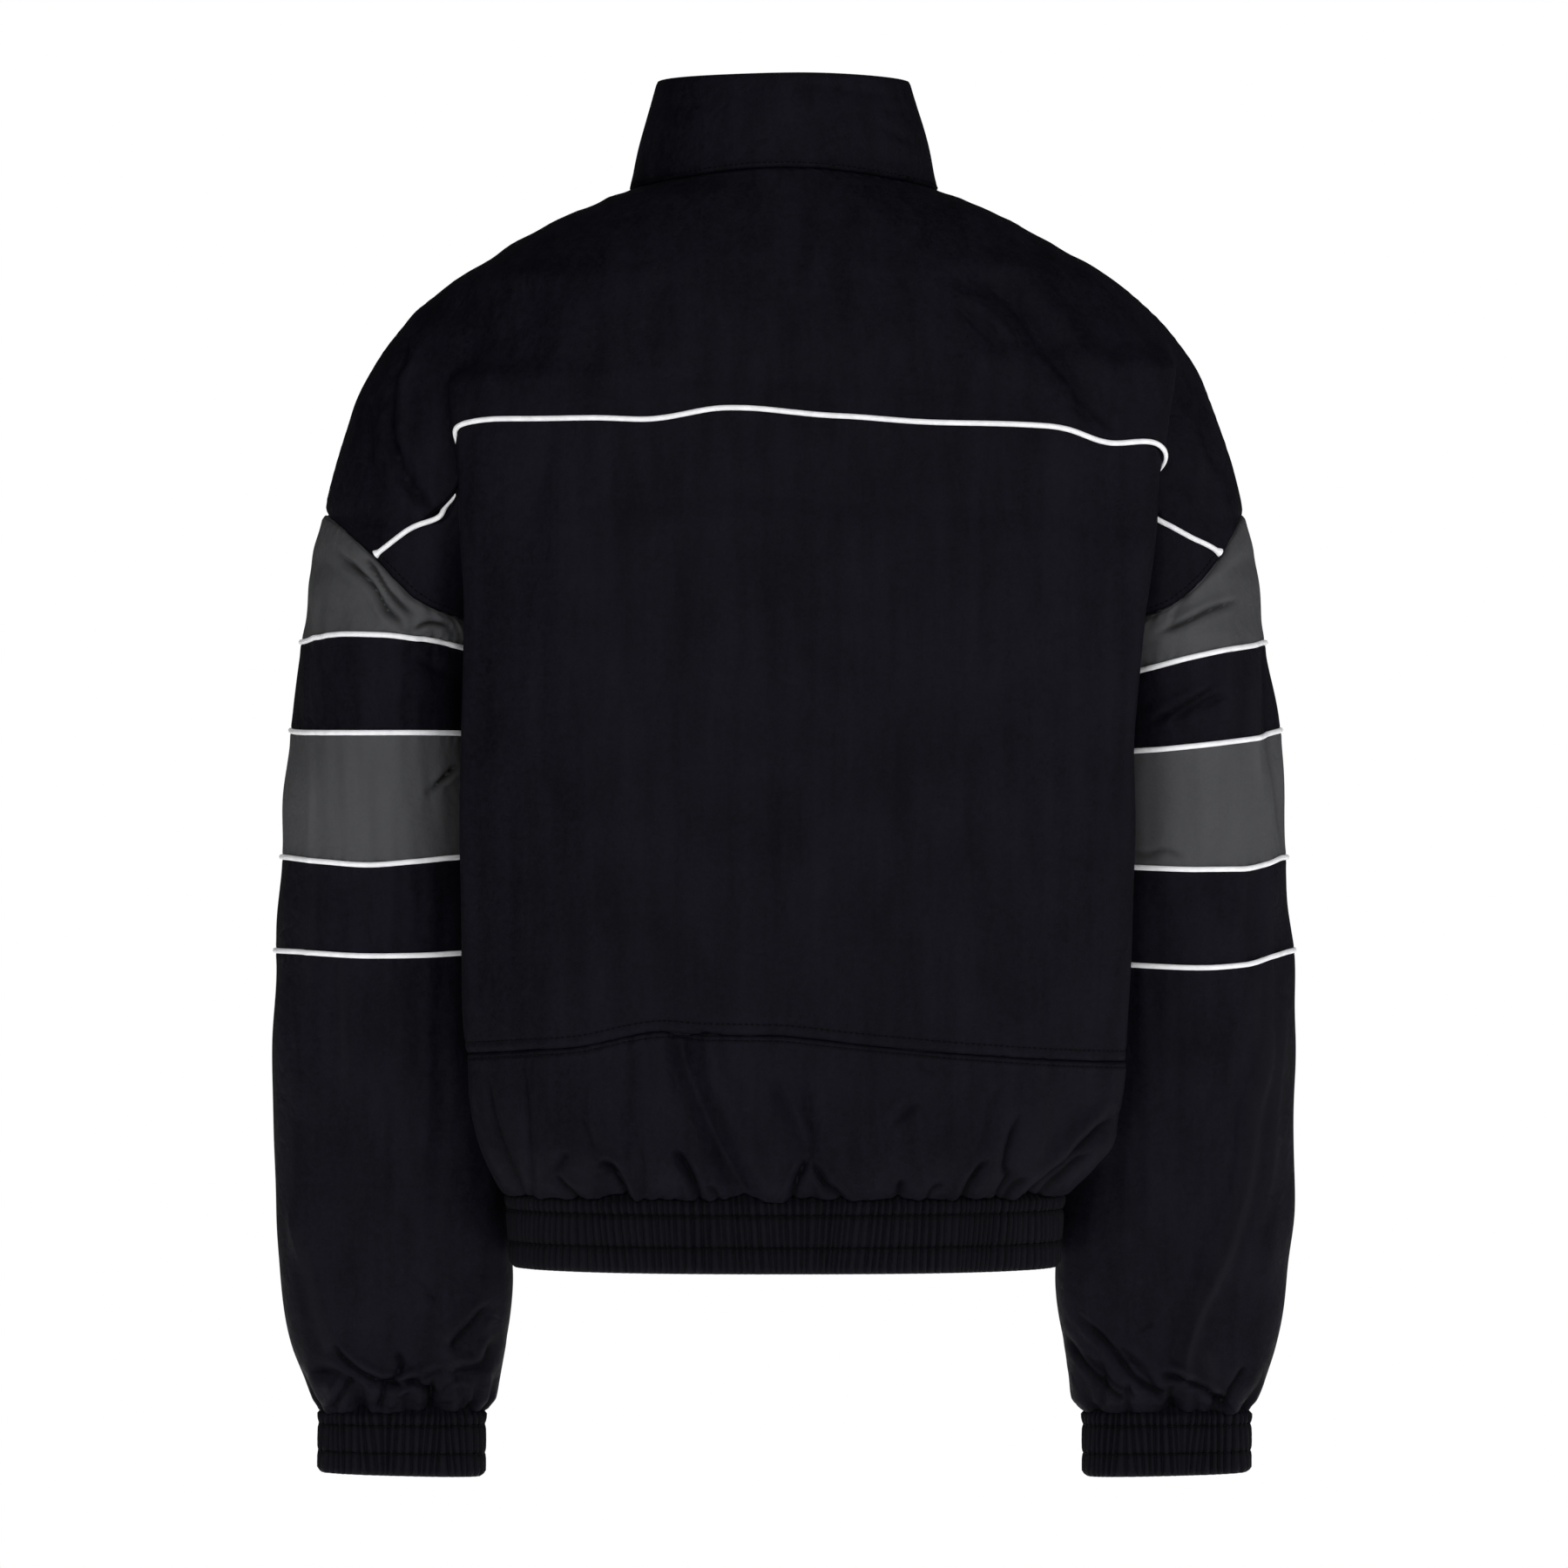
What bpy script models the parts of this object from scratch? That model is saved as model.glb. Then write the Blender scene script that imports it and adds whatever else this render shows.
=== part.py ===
"""Bomber jacket, filled out with no wearer: back yoke with drop shoulders, blousing back, plain fronts,
stand collar, elastic hem band and cuffs, sleeves in five bands, white piping in the seams, closed front zip.

Metres, +Z up. The wearer faces -Y, so the back faces +Y; the wearer's left is +X.
The origin is the middle of the neck opening, level with the side neck points.
Tables are in millimetres; `drop` is the distance below the side neck points.
"""
import bmesh
import bpy
import numpy as np

MM = 0.001

# Driving sizes, mm
WALL = 1.6            # cloth of the panels
SEAM_GAP = 0.3        # between neighbouring pieces
ZIP_OPEN = 6.0        # from the middle line to the edge of a front
CAP_DROP = 193.0      # top of the armhole seam
UNDERARM_DROP = 266.0
HEM_TOP = 598.0
HEM_BOTTOM = 640.5
COLLAR_TOP = -64.5
CUFF_TOP = 733.0
CUFF_BOTTOM = 771.5
PIPING_HALF_WIDTH = 1.6
PIPING_HALF_HEIGHT = 0.8
FOLD_INSET = 3.2      # how far the panels stop short of the yoke seam inside the back fold
TUCK_LIFT = 1.6       # extra height of the piping inside the back fold
HEM_RIBS = 92
CUFF_RIBS = 38
RIB_HEIGHT = 1.6

# Sleeve, with the shoulder it grows out of: drop, outer x, inner x, middle y, half depth, squareness
ARM = [
    (-14,   62,  20,   0,  18, 1.00),
    (0,     90,  30,   0,  24, 1.00),
    (11,   118,  38,   0,  30, 1.00),
    (22,   142,  44,   0,  34, 1.00),
    (43,   178,  56,  -1,  44, 1.00),
    (63,   209,  70,  -2,  52, 1.00),
    (84,   230,  84,  -3,  60, 1.00),
    (105,  245,  98,  -4,  66, 1.00),
    (126,  255, 110,  -5,  70, 1.00),
    (157,  266, 127,  -6,  74, 1.00),
    (193,  275, 144,  -8,  77, 1.00),
    (230,  283, 159,  -9,  78, 1.00),
    (256,  286, 169, -10,  78, 1.00),
    (266,  288, 174, -10,  78, 1.00),
    (273,  289, 178, -11,  78, 1.00),
    (300,  292, 182, -13,  77, 1.00),
    (350,  298, 182, -16,  73, 1.00),
    (400,  301, 179, -20,  68, 1.00),
    (450,  305, 175, -24,  62, 0.97),
    (510,  307, 170, -28,  55, 0.94),
    (560,  307, 166, -33,  50, 0.90),
    (605,  306, 164, -37,  45, 0.88),
    (648,  303, 163, -40,  41, 0.86),
    (690,  297, 168, -44,  37, 0.84),
    (715,  290, 171, -45,  33, 0.84),
    (725,  285, 173, -46,  28, 0.84),
    (731,  281, 178, -46,  21, 0.84),
    (740,  280, 182, -47,  19, 0.80),
    (772,  280, 183, -48,  18, 0.80),
]

# Torso: drop, back fold x left, back fold x right, side x, back y, front y, middle y, squareness
TORSO = [
    (-14,   60,  60,  60,  72,  -61,   0, 1.00),
    (0,     90,  90,  90,  80,  -66,   0, 1.00),
    (11,   120, 120, 120,  86,  -70,   0, 0.98),
    (32,   161, 161, 161,  96,  -77,  -1, 0.94),
    (58,   199, 201, 199, 107,  -83,  -2, 0.86),
    (78,   201, 221, 205, 113,  -90,  -3, 0.78),
    (100,  198, 231, 200, 118,  -98,  -4, 0.70),
    (150,  195, 227, 183, 124, -113,  -6, 0.58),
    (200,  192, 222, 177, 127, -126,  -8, 0.53),
    (266,  191, 216, 174, 128, -137, -10, 0.50),
    (274,  191, 215, 171, 128, -138, -10, 0.50),
    (300,  191, 212, 170, 128, -139, -10, 0.50),
    (340,  191, 209, 169, 128, -140, -10, 0.50),
    (410,  192, 208, 167, 127, -141, -10, 0.52),
    (470,  191, 205, 163, 127, -142, -10, 0.54),
    (530,  185, 201, 158, 127, -141, -10, 0.57),
    (565,  180, 194, 156, 126, -138, -10, 0.62),
    (590,  171, 176, 157, 119, -129, -10, 0.70),
    (600,  164, 165, 161, 109, -119, -10, 0.78),
]
ARM_DENT = 66.0       # reach in y of the hollow that the sleeve presses into the side
FOLD_REACH = 12.5

# Fold of the back beside the sleeve: drop, how far it stands out, its y
FOLD = [
    (70,   0, 78),
    (105,  5, 84),
    (150, 10, 88),
    (200, 13, 90),
    (266, 13, 90),
    (340, 11, 87),
    (450,  9, 83),
    (530,  6, 78),
    (595,  0, 66),
]

# Armhole seam: angle on the sleeve from the outside (0) to the underarm (180), drop left, drop right
ARMHOLE = [
    (0,   193.0, 193.0),
    (20,  196.5, 198.0),
    (38,  202.0, 209.0),
    (53,  210.5, 222.5),
    (68,  221.0, 236.0),
    (82,  233.0, 246.5),
    (96,  245.0, 254.0),
    (112, 252.6, 258.5),
    (130, 258.5, 261.5),
    (152, 263.5, 264.5),
    (180, 266.0, 266.0),
]

# Neck seam: share of the row (0 middle, 1 shoulder), drop on the back, drop on the front
NECK = [
    (0.00, -8.0, 65.0),
    (0.15, -7.5, 57.0),
    (0.30, -6.0, 46.0),
    (0.50, -3.5, 29.0),
    (0.75, -1.0, 10.0),
    (1.00,  0.0,  0.0),
]

# Piped yoke seam on the back: share of the row (0 middle, 0.6 back fold, 1 armhole), drop left, drop right
YOKE = [
    (0.00, 138.1, 138.1),
    (0.06, 136.2, 140.5),
    (0.10, 136.0, 141.2),
    (0.19, 141.2, 144.0),
    (0.23, 142.9, 144.7),
    (0.32, 141.7, 145.2),
    (0.41, 141.9, 146.7),
    (0.50, 141.5, 156.3),
    (0.55, 143.2, 154.0),
    (0.58, 145.5, 155.2),
    (0.60, 150.0, 163.5),
    (0.63, 168.0, 177.0),
    (0.66, 184.0, 190.0),
    (0.69, 194.5, 200.0),
    (0.73, 199.0, 204.5),
    (0.81, 203.3, 210.7),
    (0.87, 209.1, 214.2),
    (0.94, 215.7, 216.8),
    (1.00, 221.0, 219.5),
]

# Lower back seam: share of the row, drop left, drop right
LOWER = [
    (0.00, 500.9, 500.9),
    (0.15, 500.1, 507.0),
    (0.20, 498.1, 508.6),
    (0.25, 500.2, 510.4),
    (0.36, 508.0, 513.5),
    (0.45, 510.0, 515.8),
    (0.58, 512.5, 517.7),
    (1.00, 516.0, 520.0),
]

# Piped seams round a sleeve, top to bottom: angle from the outside, four drops left, four drops right
RINGS = [
    (0,   269.8, 322.5, 398.2, 454.3, 269.8, 322.2, 398.3, 454.0),
    (20,  269.9, 323.5, 398.3, 454.2, 270.6, 323.6, 398.5, 454.6),
    (40,  268.0, 324.1, 399.3, 454.3, 273.0, 327.0, 402.2, 457.2),
    (60,  266.3, 324.3, 400.8, 455.2, 275.3, 329.3, 405.0, 461.8),
    (85,  266.9, 324.3, 402.5, 456.1, 280.0, 332.0, 405.0, 463.5),
    (110, 269.6, 324.3, 400.6, 456.0, 286.0, 334.3, 404.2, 462.5),
    (135, 273.0, 324.4, 398.4, 455.2, 291.0, 335.5, 403.5, 461.0),
    (180, 279.0, 324.6, 397.0, 454.5, 297.0, 336.5, 403.0, 460.0),
]

# Large folds of the lower back above the hem band: x at the top, drop there, x at the bottom, depth
HEM_FOLDS = [
    (-150, 540, -143, 4.0),
    (-118, 560, -112, 4.0),
    (-96,  548,  -83, 4.5),
    (-55,  556,  -66, 4.0),
    (-13,  545,   -9, 5.0),
    (20,   548,   12, 5.0),
    (60,   505,   30, 7.0),
    (86,   550,   78, 4.0),
    (104,  556,   97, 4.0),
    (128,  540,  118, 4.0),
    (152,  520,  143, 5.0),
]
FOLD_WIDTH = 7.0

# Columns of a half row, shared by every panel of the torso
COLUMNS = [0, 0.09, 0.18, 0.27, 0.36, 0.45, 0.53, 0.60, 0.645, 0.69, 0.76, 0.84, 0.92, 1.0]
# Columns round half a sleeve, degrees, left (1) and right (-1); the armhole seam has its corners at them,
# and the yoke piping ends at the fourth
ANGLES = {
    1: [0, 20, 44, 68, 88, 104, 122, 140, 160, 180],
    -1: [0, 18, 34, 49.3, 68, 88, 112, 136, 158, 180],
}


# ---- curves and surfaces ----

def through(rows, column, at):
    """A column of a table at any value of its first column, along a cubic that never overshoots."""
    x = np.array([row[0] for row in rows], float)
    y = np.array([row[column] for row in rows], float)
    step = np.diff(x)
    slope = np.diff(y) / step
    lean = np.zeros_like(y)
    same = slope[:-1] * slope[1:] > 0
    total = np.where(same, slope[:-1] + slope[1:], 1.0)
    lean[1:-1] = np.where(same, 2 * slope[:-1] * slope[1:] / total, 0.0)
    lean[0], lean[-1] = slope[0], slope[-1]
    at = np.clip(at, x[0], x[-1])
    i = np.clip(np.searchsorted(x, at, side="right") - 1, 0, len(step) - 1)
    t = (at - x[i]) / step[i]
    return ((1 + 2 * t) * (1 - t) ** 2 * y[i] + t * (1 - t) ** 2 * step[i] * lean[i]
            + t * t * (3 - 2 * t) * y[i + 1] + t * t * (t - 1) * step[i] * lean[i + 1])


def ease(t):
    """Smooth step from 0 to 1."""
    t = np.clip(t, 0.0, 1.0)
    return t * t * (3 - 2 * t)


def power(value, exponent):
    """Signed power, which squares an oval."""
    return np.sign(value) * np.abs(value) ** exponent


def sleeve(angle, drop, side):
    """The sleeve tube: a squared oval at each drop, angle in degrees from the outside round the back."""
    outer, inner, middle, half, square = (through(ARM, k, drop) for k in (1, 2, 3, 4, 5))
    turn = np.radians(angle)
    x = (outer + inner) / 2 + (outer - inner) / 2 * power(np.cos(turn), square)
    y = middle + half * power(np.sin(turn), square)
    return np.stack([side * x, y, -drop + 0 * x], -1)


FINE_ANGLES = np.linspace(0, 180, 721)
SEAM_DROPS = {1: through(ARMHOLE, 1, FINE_ANGLES), -1: through(ARMHOLE, 2, FINE_ANGLES)}


def half_row(drop, side, face, count=241):
    """Half a level section of the torso, from the middle line to its edge.

    A squared oval with a fold that stands out beside the sleeve and a hollow where the sleeve presses.
    Above the underarm the oval runs into the sleeve's oval, and the row goes on over it to the armhole seam
    or the shoulder line. The corner between the two is eased.
    """
    outer, inner, middle, half = (float(through(ARM, k, drop)) for k in (1, 2, 3, 4))
    fold_left, fold_right, flank, y_side, square = (float(through(TORSO, k, drop)) for k in (1, 2, 3, 6, 7))
    reach = min(fold_left if side > 0 else fold_right, outer)
    if face < 0:
        reach = min(flank, outer)
        square = min(square + 0.15, 1.0)
    elif side < 0:
        flank += (fold_right - fold_left) * ease((150 - drop) / 60)
    flank = min(flank, reach)
    deep = float(through(TORSO, 4 if face > 0 else 5, drop))

    turn = np.linspace(0, np.pi / 2, 241)
    across = np.sin(turn) ** square
    y = y_side + (deep - y_side) * np.r_[np.cos(turn[:-1]) ** square, 0.0]
    hollow = np.exp(-((y - middle) / ARM_DENT) ** 4)
    stand = float(through(FOLD, 1, drop)) if face > 0 else 0.0
    if side < 0:
        stand *= 1 + 0.04 * (fold_right - fold_left) * ease((drop - 110) / 60)
    fold = stand * np.exp(-((y - float(through(FOLD, 2, drop))) / FOLD_REACH) ** 2)
    width = reach
    for _ in range(8):
        x = across * (width - (width - flank) * hollow) + fold
        width *= reach / x.max()
    path = np.stack([x, y], 1)
    corner = int(x.argmax())

    if drop < UNDERARM_DROP:
        centre, wide = (outer + inner) / 2, (outer - inner) / 2
        inside = ((x - centre) / wide) ** 2 + ((y - middle) / half) ** 2
        hits = np.nonzero(inside < 1 - 1e-9)[0]
        edge = 0.0 if drop <= CAP_DROP else float(np.interp(drop, SEAM_DROPS[side], FINE_ANGLES))
        if len(hits) and hits[0] > 0:
            i = hits[0]
            t = (inside[i - 1] - 1) / (inside[i - 1] - inside[i])
            meet = path[i - 1] + t * (path[i] - path[i - 1])
            start = np.degrees(np.arctan2(abs(meet[1] - middle) / half, (meet[0] - centre) / wide))
            arc = np.radians(np.linspace(max(start, edge), edge, 90))
            over = np.stack([centre + wide * np.cos(arc), middle + face * half * np.sin(arc)], 1)
            path = np.concatenate([path[:i], over])
            corner = min(corner, i)

    far = np.r_[0, np.cumsum(np.hypot(*np.diff(path, axis=0).T))]
    share = far[corner] / far[-1] if face > 0 else 0.66
    share += (0.66 - share) * ease((120 - drop) / 60)
    share += (0.68 - share) * ease((drop - 540) / 50)
    even = np.linspace(0, far[-1], 301)
    soft = np.stack([np.interp(even, far, path[:, k]) for k in (0, 1)], 1)
    for _ in range(30):
        soft[1:-1] = 0.25 * soft[:-2] + 0.5 * soft[1:-1] + 0.25 * soft[2:]
    w = np.linspace(0, 1, count)
    at = np.where(w < 0.6, w / 0.6 * share, share + (w - 0.6) / 0.4 * (1 - share)) * far[-1]
    return np.stack([side * np.interp(at, even, soft[:, 0]), np.interp(at, even, soft[:, 1]),
                     np.full(count, -drop)], 1)


LEVELS = np.unique(np.r_[-10:244:2.0, 244:270:0.5, 270:601:3.0, 600.0])


class Quarter:
    """A quarter of the torso as a grid of fine rows, read off at any share of the row and any drop."""

    def __init__(self, side, face):
        self.sign = side * face
        self.grid = np.stack([half_row(drop, side, face) for drop in LEVELS])
        down = np.gradient(self.grid, LEVELS, axis=0)
        along = np.gradient(self.grid, axis=1)
        normal = np.cross(along, down) * self.sign
        self.normals = normal / np.linalg.norm(normal, axis=-1, keepdims=True)

    def read(self, table, w, drop):
        w, drop = np.broadcast_arrays(np.asarray(w, float), np.asarray(drop, float))
        row = np.clip(np.interp(drop, LEVELS, np.arange(len(LEVELS))), 0, len(LEVELS) - 1.001)
        column = np.clip(w, 0, 1) * (table.shape[1] - 1.001)
        i, j = row.astype(int), column.astype(int)
        a, b = (row - i)[..., None], (column - j)[..., None]
        return ((1 - a) * ((1 - b) * table[i, j] + b * table[i, j + 1])
                + a * ((1 - b) * table[i + 1, j] + b * table[i + 1, j + 1]))

    def point(self, w, drop):
        return self.read(self.grid, w, drop)

    def normal(self, w, drop):
        n = self.read(self.normals, w, drop)
        return n / np.linalg.norm(n, axis=-1, keepdims=True)


BACK = {side: Quarter(side, 1) for side in (1, -1)}
FRONT = {side: Quarter(side, -1) for side in (1, -1)}


def hem_folds(points):
    """Depth of the lower back's folds at points: soft troughs that deepen towards the hem band."""
    depth = np.zeros(points.shape[:-1])
    for x_top, drop_top, x_bottom, deep in HEM_FOLDS:
        t = np.clip((-points[..., 2] - drop_top) / (590 - drop_top), 0, 1.2)
        middle = x_top + (x_bottom - x_top) * t
        depth += deep * ease(t) * np.exp(-((points[..., 0] - middle) / FOLD_WIDTH) ** 2)
    return depth


# ---- solids ----

def material(name, colour, roughness, metallic=0.0):
    made = bpy.data.materials.new(name)
    made.use_nodes = True
    shader = made.node_tree.nodes["Principled BSDF"]
    shader.inputs["Base Color"].default_value = (*colour, 1.0)
    shader.inputs["Roughness"].default_value = roughness
    shader.inputs["Metallic"].default_value = metallic
    made.diffuse_color = (*colour, 1.0)
    return made


def solid(name, points, faces, look, origin=(0.0, 0.0, 0.0)):
    """One closed object from points in mm, with its origin at a point in mm."""
    mesh = bpy.data.meshes.new(name)
    mesh.from_pydata(((np.asarray(points) - origin) * MM).tolist(), [], faces)
    shape = bmesh.new()
    shape.from_mesh(mesh)
    bmesh.ops.recalc_face_normals(shape, faces=shape.faces)
    shape.to_mesh(mesh)
    shape.free()
    mesh.materials.append(look)
    made = bpy.data.objects.new(name, mesh)
    made.location = np.asarray(origin) * MM
    bpy.context.scene.collection.objects.link(made)
    return made


def wall(name, outer, inner, look, ring=False):
    """A closed wall between two grids of points; with ring, the last column meets the first."""
    rows, columns = outer.shape[:2]
    points = np.concatenate([outer.reshape(-1, 3), inner.reshape(-1, 3)])
    back = rows * columns

    def at(layer, i, j):
        return layer * back + i * columns + j % columns

    faces = []
    last = columns if ring else columns - 1
    for i in range(rows - 1):
        for j in range(last):
            faces.append((at(0, i, j), at(0, i, j + 1), at(0, i + 1, j + 1), at(0, i + 1, j)))
            faces.append((at(1, i, j), at(1, i + 1, j), at(1, i + 1, j + 1), at(1, i, j + 1)))
    for j in range(last):
        for i in (0, rows - 1):
            faces.append((at(0, i, j), at(1, i, j), at(1, i, j + 1), at(0, i, j + 1)))
    if not ring:
        for i in range(rows - 1):
            for j in (0, columns - 1):
                faces.append((at(0, i, j), at(0, i + 1, j), at(1, i + 1, j), at(1, i, j)))
    return solid(name, points, faces, look)


def cord(name, path, normals, look, ring=False, tucked=0.0):
    """A flattened cord just above points of a surface with their normals; narrower where tucked in."""
    tucked = np.reshape(tucked, (-1, 1)) + np.zeros((len(path), 1))
    half_width = PIPING_HALF_WIDTH * (1 - 0.55 * tucked)
    half_height = PIPING_HALF_HEIGHT * (1 - 0.3 * tucked)
    count = len(path)
    if ring:
        along = np.roll(path, -1, 0) - np.roll(path, 1, 0)
    else:
        along = np.gradient(path, axis=0)
    along /= np.linalg.norm(along, axis=1, keepdims=True)
    sideways = np.cross(along, normals)
    sideways /= np.linalg.norm(sideways, axis=1, keepdims=True)
    up = np.cross(sideways, along)
    up *= np.sign((up * normals).sum(1))[:, None]
    middle = path + up * (SEAM_GAP + half_height + TUCK_LIFT * tucked)
    corners = [(-1.0, -0.9), (1.0, -0.9), (1.05, 0.2), (0.0, 1.0), (-1.05, 0.2)]
    rings = np.stack([middle + a * half_width * sideways + b * half_height * up for a, b in corners], 1)
    sides = len(corners)
    faces = []
    for i in range(count if ring else count - 1):
        for k in range(sides):
            a, b = i * sides, (i + 1) % count * sides
            faces.append((a + k, a + (k + 1) % sides, b + (k + 1) % sides, b + k))
    if not ring:
        faces.append(tuple(range(sides)))
        faces.append(tuple((count - 1) * sides + k for k in range(sides)))
    return solid(name, rings.reshape(-1, 3), faces, look)


def both_halves(shares, quarters, drops):
    """Points and normals of rows that run from the right edge over the middle to the left edge."""
    right = [(quarters[-1], w) for w in shares[:0:-1]]
    left = [(quarters[1], w) for w in shares]
    columns = right + left
    points = np.stack([quarter.point(w, drops[:, k]) for k, (quarter, w) in enumerate(columns)], 1)
    normals = np.stack([quarter.normal(w, drops[:, k]) for k, (quarter, w) in enumerate(columns)], 1)
    return points, normals


def levels(top, bottom, shares):
    """Drops of the rows of a panel, per column: shares of the way from its top seam to its bottom seam."""
    top, bottom = np.asarray(top, float) + SEAM_GAP / 2, np.asarray(bottom, float) - SEAM_GAP / 2
    return top + (bottom - top) * shares


def seam(rows, shares):
    """Drops of a back seam at the columns of both halves."""
    shares = np.asarray(shares)
    return np.r_[through(rows, 2, shares[:0:-1]), through(rows, 1, shares)]


def armhole(side):
    """Drops of the armhole seam at the sleeve's columns, from the top to the underarm."""
    return [float(drop) for drop in np.interp(ANGLES[side], FINE_ANGLES, SEAM_DROPS[side])]


def in_fold(shares):
    """1 inside the fold beside the sleeve, 0 away from it, at the columns of both halves."""
    shares = np.asarray(shares)
    return np.exp(-((np.r_[shares[:0:-1], shares] - 0.68) / 0.09) ** 4)


def row_shares(stops):
    """Shares of the way down an edge, from the drops of its corners."""
    stops = np.asarray(stops, float)
    return (stops - stops[0]) / (stops[-1] - stops[0])


def spread(stops_left, stops_right, shares):
    """Row shares per column, so that each edge of the back has its corners at its own drops."""
    shares = np.asarray(shares)
    left, right = row_shares(stops_left)[:, None], row_shares(stops_right)[:, None]
    middle = (left + right) / 2
    return np.concatenate([middle + (right - middle) * shares[:0:-1], middle + (left - middle) * shares], 1)


EDGE = 1.0 - 0.0012
SHARES = COLUMNS[:-1] + [EDGE]


def back_panels(look):
    """Yoke, middle and lower back, each one wall over both halves."""
    full = np.array(SHARES)
    neck = np.r_[through(NECK, 1, full[:0:-1]), through(NECK, 1, full)]
    yoke, lower = seam(YOKE, full), seam(LOWER, full)
    hem = np.full(len(neck), HEM_TOP)
    apart = FOLD_INSET * in_fold(SHARES)
    shoulder = [0, 12, 32, 58, 84, 112, 150]
    below = [290, 330, 370, 412, 455, 490]

    ends = [shoulder + armhole(side)[:4] for side in (1, -1)]
    points, normals = both_halves(SHARES, BACK, levels(neck, yoke - apart, spread(*ends, SHARES)))
    wall("back_yoke", points, points - WALL * normals, look)

    ends = [armhole(side)[3:] + below + [lower[edge]] for side, edge in ((1, -1), (-1, 0))]
    points, normals = both_halves(SHARES, BACK, levels(yoke + apart, lower, spread(*ends, SHARES)))
    wall("back_body", points, points - WALL * normals, look)

    rows = np.array([0, 0.22, 0.42, 0.60, 0.76, 0.89, 0.96, 1])[:, None]
    points, normals = both_halves(SHARES, BACK, levels(lower, hem, rows))
    fade = ease((HEM_TOP + 4 - levels(lower, hem, rows)) / 12)
    pressed = points - (hem_folds(points) * fade)[..., None] * normals
    points[..., :2] = pressed[..., :2]
    inner = points - WALL * normals
    inner[-1, :, 2] = points[-1, :, 2]
    wall("back_hem_panel", points, inner, look)


def front_start(drop):
    """Share of a front row at which it is ZIP_OPEN from the middle line."""
    w = np.linspace(0, 0.2, 81)
    x = FRONT[1].point(w, np.full(81, float(drop)))[:, 0]
    return float(np.interp(ZIP_OPEN, x, w))


def front_panels(look):
    """Both plain fronts; the drops of the rows at the zip edge come back, for the zip tapes."""
    edge_drops = None
    for side, name in ((1, "front_left"), (-1, "front_right")):
        stops = [0, 12, 32, 58, 84, 112, 150] + armhole(side)
        stops += [300, 345, 395, 445, 495, 540, 570, 588, HEM_TOP]
        rows = row_shares(stops)[:, None]
        shares = np.array([0, 0.1, 0.2, 0.3, 0.4, 0.5, 0.6, 0.68, 0.76, 0.84, 0.92, 1])
        w = front_start(300) + (EDGE - front_start(300)) * shares
        drops = levels(through(NECK, 2, w), np.full(len(w), HEM_TOP), rows)
        points, normals = FRONT[side].point(w, drops), FRONT[side].normal(w, drops)
        points[:, 0, 0] = side * ZIP_OPEN
        inner = points - WALL * normals
        inner[-1, :, 2] = points[-1, :, 2]
        wall(name, points, inner, look)
        if side > 0:
            edge_drops = drops[:, 0]
    return edge_drops


def collar_top(points):
    """The points of the collar's level top edge that lie over points of the neck seam."""
    y_middle, half = -2.0, 73.6
    behind = points[..., 1] > y_middle
    base = np.where(behind, 77.0, 84.0)
    top = np.where(behind, 62.0, 65.0)
    turn = np.arctan2(points[..., 0] / 90.0, (points[..., 1] - y_middle) / base)
    level = np.full(turn.shape, -COLLAR_TOP)
    return np.stack([half * np.sin(turn), y_middle + top * np.cos(turn), level], -1)


def collar(look):
    """Stand collar lofted from the neck seam to its level top; its edge beside the zip comes back."""
    front = np.array([front_start(66), 0.16, 0.32, 0.5, 0.7, 0.88])
    back = np.array([1, 0.86, 0.72, 0.56, 0.40, 0.24, 0.1, 0])
    halves = {}
    for side in (1, -1):
        ahead = FRONT[side].point(front, through(NECK, 2, front))
        behind = BACK[side].point(back, through(NECK, 1, back))
        halves[side] = np.concatenate([ahead, behind])
    foot = np.concatenate([halves[1], halves[-1][-2::-1]])
    top = collar_top(foot)
    foot = foot + [0, 0, 0.2]
    rise = np.array([0, 0.25, 0.5, 0.75, 1])[:, None, None]
    grid = foot + (top - foot) * rise
    out = grid - [0, -2.0, 0]
    out[..., 2] = 0
    out /= np.linalg.norm(out, axis=-1, keepdims=True)
    grid = grid + out * 1.5 * np.sin(np.pi * rise)
    grid[:, 0, 0], grid[:, -1, 0] = ZIP_OPEN, -ZIP_OPEN
    normal = np.cross(np.gradient(grid, axis=1), np.gradient(grid, axis=0))
    normal /= np.linalg.norm(normal, axis=-1, keepdims=True)
    normal *= np.sign((normal * out).sum(-1))[..., None]
    normal[:, 0, 0] = normal[:, -1, 0] = 0
    wall("collar", grid, grid - WALL * normal, look)
    return grid[:, 0]


def spaced(path, count, ring=False):
    """Points at even distances along a path."""
    if ring:
        path = np.concatenate([path, path[:1]])
    far = np.r_[0, np.cumsum(np.linalg.norm(np.diff(path, axis=0), axis=1))]
    at = np.linspace(0, far[-1], count, endpoint=not ring)
    return np.stack([np.interp(at, far, path[:, k]) for k in range(3)], 1)


def outward(path, ring=False):
    """Level outward directions along a level path."""
    along = np.roll(path, -1, 0) - np.roll(path, 1, 0) if ring else np.gradient(path, axis=0)
    out = np.stack([along[:, 1], -along[:, 0], 0 * along[:, 0]], 1)
    out /= np.linalg.norm(out, axis=1, keepdims=True)
    away = path - path.mean(0)
    return out * np.sign((out * away).sum())


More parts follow.
